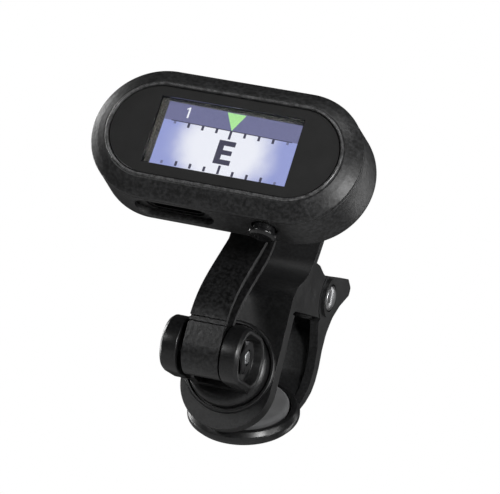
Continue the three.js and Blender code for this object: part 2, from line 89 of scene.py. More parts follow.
class Seat:
    """A place to build at: an origin and three axes, the rows of a matrix, in the tuner's frame."""

    def __init__(self, origin, axes):
        """Keeps the origin and the axes as arrays."""
        self.origin = np.array(origin, float)
        self.axes = np.array(axes, float)

    def place(self, points):
        """Points in the seat's own axes, moved into the tuner's frame."""
        return np.asarray(points) @ self.axes + self.origin


UPRIGHT = Seat((0, 0, 0), np.eye(3))

# The head: X across, depth behind the display's front, rise up the display.
RISE = np.array(JOINTS["button_press"]["axis"])
DEPTH = np.array([0.0, RISE[2], -RISE[1]])
WINDOW_MIDDLE = 0.69                        # depth of the middle of the frame's window block
window_low, window_high = corners("display_window")
HEAD = Seat((window_low + window_high) / 2 - WINDOW_MIDDLE * DEPTH, ([1, 0, 0], DEPTH, RISE))

# The foot of the rear jaw: X across, then up the pad, then out of the pad.
PAD_TOP = 2.2
PAD_NORMAL = np.array(MOUNTS["rear_pad_face"]["axis"])
PAD_UP = np.array([0.0, PAD_NORMAL[2], -PAD_NORMAL[1]])
FOOT_CENTRE = np.array(MOUNTS["rear_pad_face"]["pos_m"]) / MM - PAD_TOP * PAD_NORMAL
FOOT = Seat(FOOT_CENTRE, ([1, 0, 0], PAD_UP, PAD_NORMAL))

PIVOT = joint_place("jaw_hinge")
FORK = joint_place("arm_hinge")
SWIVEL = joint_place("turntable_swivel")
NECK = joint_place("head_hinge")

jaw_high = corners("front_jaw")[1]
arm_high = corners("arm")[1]
bezel_high = corners("front_bezel")[1]

# ------------------------------------------------------------------ driving sizes

JAW_HALF = jaw_high[0]                      # half width of both jaws
FLANGE = 1.4                                # thickness of the jaws' side walls
STRAP = 1.5                                 # thickness of the jaws' bent straps
PLATE_FRONT = -3.3
PLATE_BACK = -0.6
TRAY_TOP = 12.6
THUMB_RIBS = 5
TONGUE = (4.5, 6.1)                         # inner and outer faces of the front jaw's tongues
WEB_HALF = 6.1                              # half width of the rear jaw's web
CASE_SCREWS = 4
PIN_RADIUS = 1.0
PIN_HEAD = 2.05
EAR_RADIUS = 3.9
FOOT_RADIUS = 8.9
PAD_RADIUS = 7.2

COLLAR_RADIUS = 7.3
DISC_RADIUS = 6.5
DISC_BACK = -3.6
DISC_FRONT = -5.3
ROOT_HALF = 4.5                             # half width of the block between the fork's ears
EAR_INNER = 3.2                             # inner face of the fork's ears
EAR_OUTER = 6.1
LEFT_EAR = (3.8, 6.55)                      # the left ear's own inner and outer faces
FORK_RADIUS = 4.4
FORK_REAR = -10.2
ARM_HALF = arm_high[0]
ARM_THICK = 4.0
ARM_FLANGE = 0.75
SEAM_WIDTH = 0.36                           # two fine grooves across the front of the arm
SEAM_FEET = (6.05, 6.85)
KNUCKLE = 4.2
TOP_KNUCKLE = 3.4
HINGE_BORE = 1.3                            # radius of the holes for the lower hinge's screw
NECK_BORE = 1.1                             # and for the upper hinge's screw
SWIVEL_BORE = 1.3

HEAD_HALF = 10.8                            # half distance between the centres of the head's round ends
HEAD_RADIUS = bezel_high[0] - HEAD_HALF
HEAD_DEPTH = 9.9
LENS_RADIUS = 7.15
LIP = 0.8
PARTING = 2.5
YOKE_DEPTH = 18.6
YOKE_RISE = 1.2
YOKE_RADIUS = 3.6
YOKE_OUTER = 5.5
NUT_RECESS = 2.75                           # radius of the recess round the upper hinge's nut and head
SCREW_WELL = 1.55                           # radius of the wells of the case screws
SOCKET_X = -5.9
SOCKET_DEPTH = 5.4
BUTTON_X = 8.55
BUTTON_DEPTH = 4.9
BUTTON_RADIUS = 1.9
LIT_WIDTH = 21.7
LIT_HEIGHT = 10.3
LIT_DEPTH = 1.42
PRINT_THICKNESS = 0.02
TICKS = 9                                   # in each of the two rows
PANEL_TURN = math.radians(-0.9)             # the panel sits a little askew behind the window
PANEL_SHIFT = (0.38, -0.06)

ROUND_STEPS = 96                            # steps round a full circle
SHARP_ANGLE = 32                            # degrees: steeper edges stay sharp and get a small round


# ------------------------------------------------------------------ outlines and paths


def rounded(points, closed=True, steps=6):
    """Corners (u, v, radius) turned into arcs.

    Each arc touches both sides of its corner: its ends lie radius / tan(half angle) from the corner,
    its centre radius / sin(half angle) along the bisector, and the points between are spherically
    interpolated from one end to the other.
    """
    points = np.asarray(points, float)
    corner = points[:, :2]
    radius = np.maximum(points[:, 2], 1e-5)
    back = np.roll(corner, 1, axis=0) - corner
    ahead = np.roll(corner, -1, axis=0) - corner
    if not closed:
        back[0] = -ahead[0]
        ahead[-1] = -back[-1]
    back /= np.linalg.norm(back, axis=1)[:, None]
    ahead /= np.linalg.norm(ahead, axis=1)[:, None]
    cosine = np.clip((back * ahead).sum(1), -0.99999, 0.99999)
    half = np.arccos(cosine) / 2
    bisector = back + ahead
    bisector /= np.maximum(np.linalg.norm(bisector, axis=1), 1e-9)[:, None]
    centre = corner + bisector * (radius / np.sin(half))[:, None]
    reach = (radius / np.tan(half))[:, None]
    start = corner + back * reach - centre
    finish = corner + ahead * reach - centre
    spread = (math.pi - 2 * half)[:, None, None]
    t = np.linspace(0, 1, steps)[None, :, None]
    arc = (np.sin((1 - t) * spread) * start[:, None] + np.sin(t * spread) * finish[:, None]) / np.sin(spread)
    line = (centre[:, None] + arc).reshape(-1, 2)
    if not closed:
        line[:steps] = corner[0]
        line[-steps:] = corner[-1]
    gap = np.linalg.norm(np.diff(line, axis=0), axis=1)
    keep = np.concatenate(([True], gap > 1e-4))
    line = line[keep]
    if closed and np.linalg.norm(line[0] - line[-1]) < 1e-4:
        line = line[:-1]
    return line


def bezier(points, steps=16):
    """A Bezier curve through its end points: each point weighted by its Bernstein polynomial."""
    points = np.asarray(points, float)
    degree = len(points) - 1
    t = np.linspace(0, 1, steps)[:, None]
    powers = np.arange(degree + 1)
    choose = np.array([math.comb(degree, int(k)) for k in powers])
    return (choose * t**powers * (1 - t) ** (degree - powers)) @ points


def along(*stretches):
    """Stretches of points joined into one path, without the repeated points where they meet."""
    line = np.concatenate([np.asarray(stretch, float) for stretch in stretches])
    gap = np.linalg.norm(np.diff(line, axis=0), axis=1)
    return line[np.concatenate(([True], gap > 1e-4))]


def ribbon(path, thickness):
    """A path given a thickness: its points moved half the thickness along the normal, to both sides."""
    ahead = np.gradient(path, axis=0)
    ahead /= np.linalg.norm(ahead, axis=1)[:, None]
    normal = np.stack([-ahead[:, 1], ahead[:, 0]], axis=1)
    return np.concatenate([path + normal * thickness / 2, (path - normal * thickness / 2)[::-1]])


def circle(u, v, radius, steps=ROUND_STEPS):
    """A circle of that radius about (u, v)."""
    angle = np.linspace(0, 2 * math.pi, steps, endpoint=False)
    return np.stack([u + radius * np.cos(angle), v + radius * np.sin(angle)], axis=1)


def stadium(u0, u1, v, radius):
    """Two half circles about (u0, v) and (u1, v), joined by straight sides."""
    angle = np.linspace(-math.pi / 2, math.pi / 2, ROUND_STEPS // 2 + 1)
    right = np.stack([u1 + radius * np.cos(angle), v + radius * np.sin(angle)], axis=1)
    left = np.stack([u0 - radius * np.cos(angle), v - radius * np.sin(angle)], axis=1)
    return np.concatenate([right, left])


def rectangle(u0, v0, u1, v1, radius=0.0):
    """A rectangle whose corners have that radius."""
    return rounded([(u0, v0, radius), (u1, v0, radius), (u1, v1, radius), (u0, v1, radius)], steps=5)


# ------------------------------------------------------------------ solids

# Each outline's own axes (u, v) and its run w, as places in (x, y, z).
ACROSS_X = (1, 2, 0)
ACROSS_Y = (0, 2, 1)
ACROSS_Z = (0, 1, 2)


def quads(rows, columns, wrap_rows=True, wrap_columns=True):
    """Faces of a grid of points: each joins a point to the next one along and the next one across."""
    i = np.arange(rows if wrap_rows else rows - 1)[:, None]
    j = np.arange(columns if wrap_columns else columns - 1)[None, :]
    a = i * columns + j
    b = ((i + 1) % rows) * columns + j
    c = ((i + 1) % rows) * columns + (j + 1) % columns
    d = i * columns + (j + 1) % columns
    return np.stack([a, b, c, d], axis=-1).reshape(-1, 4).tolist()


def to_object(name, points, faces):
    """Points in millimetres and their faces as an object, doubles merged and faces turned outwards."""
    mesh = bpy.data.meshes.new(name)
    mesh.from_pydata((np.asarray(points) * MM).tolist(), [], faces)
    work = bmesh.new()
    work.from_mesh(mesh)
    bmesh.ops.remove_doubles(work, verts=work.verts, dist=2e-7)
    bmesh.ops.dissolve_degenerate(work, edges=work.edges, dist=1e-7)
    bmesh.ops.recalc_face_normals(work, faces=work.faces)
    work.to_mesh(mesh)
    work.free()
    piece = bpy.data.objects.new(name, mesh)
    bpy.context.scene.collection.objects.link(piece)
    return piece


def prism(outline, low, high, across=ACROSS_Z, seat=UPRIGHT):
    """An outline carried from one station to another along its run, closed with two flat ends."""
    count = len(outline)
    ends = np.repeat([low, high], count)
    flat = np.concatenate([outline, outline])
    points = np.zeros((2 * count, 3))
    points[:, across[0]] = flat[:, 0]
    points[:, across[1]] = flat[:, 1]
    points[:, across[2]] = ends
    faces = quads(2, count, wrap_rows=False)
    faces.append(list(range(count)))
    faces.append(list(range(count, 2 * count)))
    return to_object("part", seat.place(points), faces)


def side_prism(outline, side, near, far):
    """A Y-Z outline run in X between two distances from the middle, on one side of it."""
    low, high = sorted((side * near, side * far))
    return prism(outline, low, high, ACROSS_X)


def both_sides(make):
    """The same solid made on the right and on the left."""
    return [make(1), make(-1)]


def swept_round(
    profile, half=0.0, across=ACROSS_Y, seat=UPRIGHT, centre=(0, 0), closed=False, steps=ROUND_STEPS
):
    """A profile of (radius, station) carried round a stadium, or round a circle where half is 0.

    A point of the profile sits at radius from the near end's centre, at an angle that runs half a turn
    round each end. The half may differ from one point of the profile to the next. An open profile's two
    ends are capped flat.
    """
    profile = np.asarray(profile, float)
    halves = np.broadcast_to(np.asarray(half, float), len(profile))
    angle = np.linspace(-math.pi / 2, math.pi / 2, steps // 2 + 1)
    angle = np.concatenate([angle, angle + math.pi])
    end = np.repeat([1.0, -1.0], steps // 2 + 1)
    if not halves.any():
        keep = np.ones(len(angle), bool)
        keep[[steps // 2, -1]] = False
        angle = angle[keep]
        end = end[keep]
    points = np.zeros((len(angle), len(profile), 3))
    points[..., across[0]] = centre[0] + end[:, None] * halves + profile[:, 0] * np.cos(angle)[:, None]
    points[..., across[1]] = centre[1] + profile[:, 0] * np.sin(angle)[:, None]
    points[..., across[2]] = profile[:, 1]
    rows, columns = points.shape[:2]
    faces = quads(rows, columns, wrap_columns=closed)
    if not closed:
        first = np.arange(rows) * columns
        faces.append(first.tolist())
        faces.append((first + columns - 1).tolist())
    return to_object("part", seat.place(points.reshape(-1, 3)), faces)


def tube(name, path, radius):
    """A round wire along a path of points: its section turned square to the path's direction."""
    sides = 16
    path = np.asarray(path, float)
    ahead = np.gradient(path, axis=0)
    ahead /= np.linalg.norm(ahead, axis=1)[:, None]
    sideways = np.cross(ahead, np.array([0.9, 0.1, 0.42]))
    sideways /= np.linalg.norm(sideways, axis=1)[:, None]
    upward = np.cross(ahead, sideways)
    angle = np.linspace(0, 2 * math.pi, sides, endpoint=False)
    ring = np.cos(angle)[None, :, None] * sideways[:, None] + np.sin(angle)[None, :, None] * upward[:, None]
    points = path[:, None] + radius * ring
    faces = quads(len(path), sides, wrap_rows=False)
    faces.append(list(range(sides)))
    faces.append(list(range((len(path) - 1) * sides, len(path) * sides)))
    return to_object(name, points.reshape(-1, 3), faces)


def combine(base, tool, operation):
    """Joins the tool to the base, cuts it away or keeps what they share, and removes the tool."""
    change = base.modifiers.new(operation.lower(), "BOOLEAN")
    change.object = tool
    change.operation = operation
    change.solver = "EXACT"
    with bpy.context.temp_override(object=base, active_object=base):
        bpy.ops.object.modifier_apply(modifier=change.name)
    bpy.data.objects.remove(tool)


def smooth(piece, angle=SHARP_ANGLE):
    """Smooth shading, kept sharp along edges steeper than the angle."""
    piece.data.shade_smooth()
    piece.data.set_sharp_from_angle(angle=math.radians(angle))


def moulded(name, add, cut, edge, segments=2):
    """Solids joined into one moulding, cut by others, with its edges rounded off."""
    base = add[0]
    for other in add[1:]:
        combine(base, other, "UNION")
    for other in cut:
        combine(base, other, "DIFFERENCE")
    base.name = name
    base.data.name = name
    work = bmesh.new()
    work.from_mesh(base.data)
    bmesh.ops.remove_doubles(work, verts=work.verts, dist=2e-6)
    bmesh.ops.dissolve_limit(
        work, angle_limit=math.radians(0.4), verts=work.verts, edges=work.edges)
    work.to_mesh(base.data)
    work.free()
    smooth(base)
    soften(base, edge, segments)
    return base


def soften(piece, width, segments=2):
    """A small round along every edge steeper than the sharp angle."""
    bevel = piece.modifiers.new("edge round", "BEVEL")
    bevel.width = width * MM
    bevel.segments = segments
    bevel.limit_method = "ANGLE"
    bevel.angle_limit = math.radians(SHARP_ANGLE)
    bevel.harden_normals = True
    bevel.use_clamp_overlap = True


def refined(node, edge):
    """A copy of a frame node, its triangles merged into whole faces and its edges rounded off."""
    source = frame["nodes"][node]
    mesh = source.data.copy()
    piece = bpy.data.objects.new("fine_" + node, mesh)
    bpy.context.scene.collection.objects.link(piece)
    work = bmesh.new()
    work.from_mesh(mesh)
    bmesh.ops.remove_doubles(work, verts=work.verts, dist=1e-6)
    bmesh.ops.dissolve_limit(
        work, angle_limit=math.radians(1.0), verts=work.verts, edges=work.edges)
    work.to_mesh(mesh)
    work.free()
    mesh.materials.clear()
    smooth(piece)
    soften(piece, edge)
    return piece


def finish_piece(piece, body, material, slot, *nodes):
    """Gives a piece its material, its body and the frame nodes that it stands for; the slot is not used."""
    piece.data.materials.clear()
    piece.data.materials.append(material)
    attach(piece, body)
    if nodes:
        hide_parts(*nodes)
    return piece


# ------------------------------------------------------------------ materials


def empty_material(name):
    """A new material and its node tree, with nothing in it."""
    material = bpy.data.materials.new(name)
    material.use_nodes = True
    tree = material.node_tree
    tree.nodes.clear()
    return material, tree


def moulded_plastic(name, tone, rough, grain, grain_depth, mottle=0.12, edge_highlight=0.35, sparkle=0.4):
    """Black moulded plastic: spark-eroded grain, slow changes of tone and gloss, and a painted highlight
    along sharp edges.

    The grain shows as relief and as painted glints, a tone from (1 - sparkle) to (1 + 2 sparkle) times the
    resin's.
    """
    material, tree = empty_material(name)

    grain_frame = tree.nodes.new("NodeFrame")
    grain_frame.label = "spark-eroded grain"
    tone_frame = tree.nodes.new("NodeFrame")
    tone_frame.label = "tone and rubbed edges"
    gloss_frame = tree.nodes.new("NodeFrame")
    gloss_frame.label = "uneven gloss"

    coordinates = tree.nodes.new("ShaderNodeTexCoord")
    coordinates.label = "place on the moulding"
    coordinates.location = (-1200, 0)

    fine = tree.nodes.new("ShaderNodeTexNoise")
    fine.label = "fine pits of the mould"
    fine.location = (-900, -300)
    fine.parent = grain_frame
    fine.inputs["Scale"].default_value = grain
    fine.inputs["Detail"].default_value = 3.0
    fine.inputs["Roughness"].default_value = 0.62
    tree.links.new(coordinates.outputs["Object"], fine.inputs["Vector"])

    cells = tree.nodes.new("ShaderNodeTexVoronoi")
    cells.label = "rounded grains between the pits"
    cells.location = (-900, -560)
    cells.parent = grain_frame
    cells.inputs["Scale"].default_value = grain * 0.55
    tree.links.new(coordinates.outputs["Object"], cells.inputs["Vector"])

    relief = tree.nodes.new("ShaderNodeMath")
    relief.label = "pits and grains together"
    relief.location = (-660, -420)
    relief.parent = grain_frame
    relief.operation = "ADD"
    tree.links.new(fine.outputs["Fac"], relief.inputs[0])
    tree.links.new(cells.outputs["Distance"], relief.inputs[1])

    bump = tree.nodes.new("ShaderNodeBump")
    bump.label = "grain relief"
    bump.location = (-420, -420)
    bump.parent = grain_frame
    bump.inputs["Strength"].default_value = 0.55
    bump.inputs["Distance"].default_value = grain_depth * MM
    tree.links.new(relief.outputs["Value"], bump.inputs["Height"])

    slow = tree.nodes.new("ShaderNodeTexNoise")
    slow.label = "slow tone of the resin"
    slow.location = (-900, 260)
    slow.parent = tone_frame
    slow.inputs["Scale"].default_value = 260.0
    slow.inputs["Detail"].default_value = 4.0
    tree.links.new(coordinates.outputs["Object"], slow.inputs["Vector"])

    resin = tree.nodes.new("ShaderNodeValToRGB")
    resin.label = "resin from darker to paler"
    resin.location = (-660, 260)
    resin.parent = tone_frame
    resin.color_ramp.elements[0].position = 0.3
    resin.color_ramp.elements[0].color = (*(np.array(tone) * (1 - mottle)), 1)
    resin.color_ramp.elements[1].position = 0.72
    resin.color_ramp.elements[1].color = (*(np.array(tone) * (1 + mottle)), 1)
    tree.links.new(slow.outputs["Fac"], resin.inputs["Fac"])

    shape = tree.nodes.new("ShaderNodeNewGeometry")
    shape.label = "how sharply the surface turns"
    shape.location = (-900, 520)
    shape.parent = tone_frame

    # Painted highlight: edges that are sharp enough by pointiness are mixed towards 2.6 times the resin's
    # tone.
    edges = tree.nodes.new("ShaderNodeMapRange")
    edges.label = "rubbed edges only"
    edges.location = (-660, 520)
    edges.parent = tone_frame
    edges.inputs["From Min"].default_value = 0.52
    edges.inputs["From Max"].default_value = 0.62
    edges.inputs["To Max"].default_value = edge_highlight
    tree.links.new(shape.outputs["Pointiness"], edges.inputs["Value"])

    highlighted = tree.nodes.new("ShaderNodeMix")
    highlighted.label = "resin with rubbed edges"
    highlighted.location = (-420, 380)
    highlighted.parent = tone_frame
    highlighted.data_type = "RGBA"
    highlighted.inputs["B"].default_value = (*(np.array(tone) * 2.6 + 0.004), 1)
    tree.links.new(edges.outputs["Result"], highlighted.inputs["Factor"])
    tree.links.new(resin.outputs["Color"], highlighted.inputs["A"])

    # Painted glint: the tone is raised on the fine grains of the noise and lowered between them.
    glint = tree.nodes.new("ShaderNodeMapRange")
    glint.label = "painted glint on the grains"
    glint.location = (-660, -140)
    glint.parent = grain_frame
    glint.inputs["From Min"].default_value = 0.38
    glint.inputs["From Max"].default_value = 0.66
    glint.inputs["To Min"].default_value = 1 - sparkle
    glint.inputs["To Max"].default_value = 1 + 2 * sparkle
    tree.links.new(fine.outputs["Fac"], glint.inputs["Value"])

    grained = tree.nodes.new("ShaderNodeVectorMath")
    grained.label = "resin with painted glints on the grains"
    grained.location = (-260, 300)
    grained.parent = tone_frame
    grained.operation = "SCALE"
    tree.links.new(highlighted.outputs["Result"], grained.inputs["Vector"])
    tree.links.new(glint.outputs["Result"], grained.inputs["Scale"])

    handling = tree.nodes.new("ShaderNodeTexNoise")
    handling.label = "patches smoothed by handling"
    handling.location = (-900, 0)
    handling.parent = gloss_frame
    handling.inputs["Scale"].default_value = 120.0
    handling.inputs["Detail"].default_value = 5.0
    handling.inputs["Distortion"].default_value = 0.4
    tree.links.new(coordinates.outputs["Object"], handling.inputs["Vector"])

    gloss = tree.nodes.new("ShaderNodeMapRange")
    gloss.label = "roughness either side of its mean"
    gloss.location = (-660, 0)
    gloss.parent = gloss_frame
    gloss.inputs["From Min"].default_value = 0.3
    gloss.inputs["From Max"].default_value = 0.7
    gloss.inputs["To Min"].default_value = rough - 0.05
    gloss.inputs["To Max"].default_value = rough + 0.06
    tree.links.new(handling.outputs["Fac"], gloss.inputs["Value"])

    surface = tree.nodes.new("ShaderNodeBsdfPrincipled")
    surface.label = "moulded plastic"
    surface.location = (-100, 100)
    surface.inputs["IOR"].default_value = 1.5
    tree.links.new(grained.outputs["Vector"], surface.inputs["Base Color"])
    tree.links.new(gloss.outputs["Result"], surface.inputs["Roughness"])
    tree.links.new(bump.outputs["Normal"], surface.inputs["Normal"])

    out = tree.nodes.new("ShaderNodeOutputMaterial")
    out.label = "finished surface"
    out.location = (220, 100)
    tree.links.new(surface.outputs["BSDF"], out.inputs["Surface"])
    return material


def turned_metal(name, tone, rough, ring_scale, scratch, axis=(0, 0, 1)):
    """Plated or drawn metal: fine tool lines across one axis, cloudy plating and small scratches."""
    material, tree = empty_material(name)

    line_frame = tree.nodes.new("NodeFrame")
    line_frame.label = "tool lines and scratches"
    plating_frame = tree.nodes.new("NodeFrame")
    plating_frame.label = "plating"

    coordinates = tree.nodes.new("ShaderNodeTexCoord")
    coordinates.label = "place on the metal"
    coordinates.location = (-1300, 0)

    turn = tree.nodes.new("ShaderNodeMapping")
    turn.label = "stretched along the tool's path"
    turn.location = (-1080, -200)
    turn.parent = line_frame
    turn.inputs["Scale"].default_value = tuple(1.0 + 14.0 * part for part in axis)
    tree.links.new(coordinates.outputs["Object"], turn.inputs["Vector"])

    lines = tree.nodes.new("ShaderNodeTexNoise")
    lines.label = "fine tool lines"
    lines.location = (-860, -200)
    lines.parent = line_frame
    lines.inputs["Scale"].default_value = ring_scale
    lines.inputs["Detail"].default_value = 3.0
    tree.links.new(turn.outputs["Vector"], lines.inputs["Vector"])

    nicks = tree.nodes.new("ShaderNodeTexVoronoi")
    nicks.label = "thin scratches between cells"
    nicks.location = (-860, -460)
    nicks.parent = line_frame
    nicks.feature = "DISTANCE_TO_EDGE"
    nicks.inputs["Scale"].default_value = ring_scale * 0.4
    tree.links.new(coordinates.outputs["Object"], nicks.inputs["Vector"])

    scratches = tree.nodes.new("ShaderNodeMapRange")
    scratches.label = "scratches kept narrow"
    scratches.location = (-640, -460)
    scratches.parent = line_frame
    scratches.inputs["From Max"].default_value = 0.03
    scratches.inputs["To Min"].default_value = scratch
    scratches.inputs["To Max"].default_value = 0.0
    tree.links.new(nicks.outputs["Distance"], scratches.inputs["Value"])

    relief = tree.nodes.new("ShaderNodeMath")
    relief.label = "lines less the scratches"
    relief.location = (-420, -300)
    relief.parent = line_frame
    relief.operation = "SUBTRACT"
    tree.links.new(lines.outputs["Fac"], relief.inputs[0])
    tree.links.new(scratches.outputs["Result"], relief.inputs[1])

    bump = tree.nodes.new("ShaderNodeBump")
    bump.label = "depth of the lines"
    bump.location = (-200, -300)
    bump.parent = line_frame
    bump.inputs["Strength"].default_value = 0.35
    bump.inputs["Distance"].default_value = 0.006 * MM
    tree.links.new(relief.outputs["Value"], bump.inputs["Height"])

    cloud = tree.nodes.new("ShaderNodeTexNoise")
    cloud.label = "cloudy plating"
    cloud.location = (-860, 200)
    cloud.parent = plating_frame
    cloud.inputs["Scale"].default_value = 500.0
    cloud.inputs["Detail"].default_value = 4.0
    tree.links.new(coordinates.outputs["Object"], cloud.inputs["Vector"])

    plating = tree.nodes.new("ShaderNodeValToRGB")
    plating.label = "plating from dull to bright"
    plating.location = (-640, 300)
    plating.parent = plating_frame
    plating.color_ramp.elements[0].position = 0.32
    plating.color_ramp.elements[0].color = (*(np.array(tone) * 0.8), 1)
    plating.color_ramp.elements[1].position = 0.68
    plating.color_ramp.elements[1].color = (*tone, 1)
    tree.links.new(cloud.outputs["Fac"], plating.inputs["Fac"])

    dullness = tree.nodes.new("ShaderNodeMapRange")
    dullness.label = "roughness of the plating"
    dullness.location = (-640, 60)
    dullness.parent = plating_frame
    dullness.inputs["To Min"].default_value = rough - 0.08
    dullness.inputs["To Max"].default_value = rough + 0.1
    tree.links.new(cloud.outputs["Fac"], dullness.inputs["Value"])

    surface = tree.nodes.new("ShaderNodeBsdfPrincipled")
    surface.label = "metal"
    surface.location = (60, 60)
    surface.inputs["Metallic"].default_value = 1.0
    tree.links.new(plating.outputs["Color"], surface.inputs["Base Color"])
    tree.links.new(dullness.outputs["Result"], surface.inputs["Roughness"])
    tree.links.new(bump.outputs["Normal"], surface.inputs["Normal"])

    out = tree.nodes.new("ShaderNodeOutputMaterial")
    out.label = "finished surface"
    out.location = (360, 60)
    tree.links.new(surface.outputs["BSDF"], out.inputs["Surface"])
    return material


def soft_rubber(name, tone, rough, speck):
    """Matt rubber: a powdery bloom, fine open texture and a few pale specks of dust."""
    material, tree = empty_material(name)

    texture_frame = tree.nodes.new("NodeFrame")
    texture_frame.label = "open texture"
    bloom_frame = tree.nodes.new("NodeFrame")
    bloom_frame.label = "bloom and dust"

    coordinates = tree.nodes.new("ShaderNodeTexCoord")
    coordinates.label = "place on the pad"
    coordinates.location = (-1200, 0)

    pores = tree.nodes.new("ShaderNodeTexNoise")
    pores.label = "pores of the rubber"
    pores.location = (-900, -300)
    pores.parent = texture_frame
    pores.inputs["Scale"].default_value = 4200.0
    pores.inputs["Detail"].default_value = 6.0
    tree.links.new(coordinates.outputs["Object"], pores.inputs["Vector"])

    bump = tree.nodes.new("ShaderNodeBump")
    bump.label = "depth of the pores"
    bump.location = (-600, -300)
    bump.parent = texture_frame
    bump.inputs["Strength"].default_value = 0.6
    bump.inputs["Distance"].default_value = 0.02 * MM
    tree.links.new(pores.outputs["Fac"], bump.inputs["Height"])

    cloud = tree.nodes.new("ShaderNodeTexNoise")
    cloud.label = "powdery bloom"
    cloud.location = (-900, 240)
    cloud.parent = bloom_frame
    cloud.inputs["Scale"].default_value = 420.0
    cloud.inputs["Detail"].default_value = 5.0
    tree.links.new(coordinates.outputs["Object"], cloud.inputs["Vector"])

    bloom = tree.nodes.new("ShaderNodeValToRGB")
    bloom.label = "rubber under the bloom"
    bloom.location = (-660, 240)
    bloom.parent = bloom_frame
    bloom.color_ramp.elements[0].position = 0.3
    bloom.color_ramp.elements[0].color = (*(np.array(tone) * 0.78), 1)
    bloom.color_ramp.elements[1].position = 0.75
    bloom.color_ramp.elements[1].color = (*(np.array(tone) * 1.15), 1)
    tree.links.new(cloud.outputs["Fac"], bloom.inputs["Fac"])

    dust = tree.nodes.new("ShaderNodeTexVoronoi")
    dust.label = "where dust has settled"
    dust.location = (-900, 0)
    dust.parent = bloom_frame
    dust.inputs["Scale"].default_value = 900.0
    tree.links.new(coordinates.outputs["Object"], dust.inputs["Vector"])

    specks = tree.nodes.new("ShaderNodeMapRange")
    specks.label = "small round specks"
    specks.location = (-660, 0)
    specks.parent = bloom_frame
    specks.inputs["From Min"].default_value = 0.05
    specks.inputs["From Max"].default_value = 0.16
    specks.inputs["To Min"].default_value = speck
    specks.inputs["To Max"].default_value = 0.0
    tree.links.new(dust.outputs["Distance"], specks.inputs["Value"])

    dusted = tree.nodes.new("ShaderNodeMix")
    dusted.label = "rubber with dust"
    dusted.location = (-380, 160)
    dusted.parent = bloom_frame
    dusted.data_type = "RGBA"
    dusted.inputs["B"].default_value = (*(np.array(tone) * 2.0 + 0.02), 1)
    tree.links.new(specks.outputs["Result"], dusted.inputs["Factor"])
    tree.links.new(bloom.outputs["Color"], dusted.inputs["A"])

    surface = tree.nodes.new("ShaderNodeBsdfPrincipled")
    surface.label = "matt rubber"
    surface.location = (-80, 60)
    surface.inputs["Roughness"].default_value = rough
    surface.inputs["Sheen Weight"].default_value = 0.25
    surface.inputs["Sheen Roughness"].default_value = 0.5
    tree.links.new(dusted.outputs["Result"], surface.inputs["Base Color"])
    tree.links.new(bump.outputs["Normal"], surface.inputs["Normal"])

    out = tree.nodes.new("ShaderNodeOutputMaterial")
    out.label = "finished surface"
    out.location = (240, 60)
    tree.links.new(surface.outputs["BSDF"], out.inputs["Surface"])
    return material


def polished_window(name, tone, haze):
    """Black-printed acrylic: a very smooth surface with the faintest ripple and fingertip haze."""
    material, tree = empty_material(name)

    haze_frame = tree.nodes.new("NodeFrame")
    haze_frame.label = "haze and ripple"

    coordinates = tree.nodes.new("ShaderNodeTexCoord")
    coordinates.label = "place on the window"
    coordinates.location = (-1000, 0)

    ripple = tree.nodes.new("ShaderNodeTexNoise")
    ripple.label = "ripple of the sheet"
    ripple.location = (-760, -260)
    ripple.parent = haze_frame
    ripple.inputs["Scale"].default_value = 90.0
    tree.links.new(coordinates.outputs["Object"], ripple.inputs["Vector"])

    bump = tree.nodes.new("ShaderNodeBump")
    bump.label = "ripple height"
    bump.location = (-520, -260)
    bump.parent = haze_frame
    bump.inputs["Strength"].default_value = 0.08
    bump.inputs["Distance"].default_value = 0.02 * MM
    tree.links.new(ripple.outputs["Fac"], bump.inputs["Height"])

    touch = tree.nodes.new("ShaderNodeTexNoise")
    touch.label = "where fingertips dulled it"
    touch.location = (-760, 0)
    touch.parent = haze_frame
    touch.inputs["Scale"].default_value = 300.0
    touch.inputs["Detail"].default_value = 6.0
    tree.links.new(coordinates.outputs["Object"], touch.inputs["Vector"])

    dull = tree.nodes.new("ShaderNodeMapRange")
    dull.label = "roughness with haze"
    dull.location = (-520, 0)
    dull.parent = haze_frame
    dull.inputs["From Min"].default_value = 0.35
    dull.inputs["From Max"].default_value = 0.75
    dull.inputs["To Min"].default_value = haze * 0.4
    dull.inputs["To Max"].default_value = haze
    tree.links.new(touch.outputs["Fac"], dull.inputs["Value"])

    ink = tree.nodes.new("ShaderNodeValToRGB")
    ink.label = "black ink behind the acrylic"
    ink.location = (-520, 260)
    ink.parent = haze_frame
    ink.color_ramp.elements[0].color = (*(np.array(tone) * 0.85), 1)
    ink.color_ramp.elements[1].color = (*(np.array(tone) * 1.2), 1)
    tree.links.new(touch.outputs["Fac"], ink.inputs["Fac"])

    surface = tree.nodes.new("ShaderNodeBsdfPrincipled")
    surface.label = "polished acrylic over black"
    surface.location = (-160, 60)
    surface.inputs["IOR"].default_value = 1.49
    surface.inputs["Specular IOR Level"].default_value = 0.35
    tree.links.new(ink.outputs["Color"], surface.inputs["Base Color"])
    tree.links.new(dull.outputs["Result"], surface.inputs["Roughness"])
    tree.links.new(bump.outputs["Normal"], surface.inputs["Normal"])

    out = tree.nodes.new("ShaderNodeOutputMaterial")
    out.label = "finished surface"
    out.location = (160, 60)
    tree.links.new(surface.outputs["BSDF"], out.inputs["Surface"])
    return material


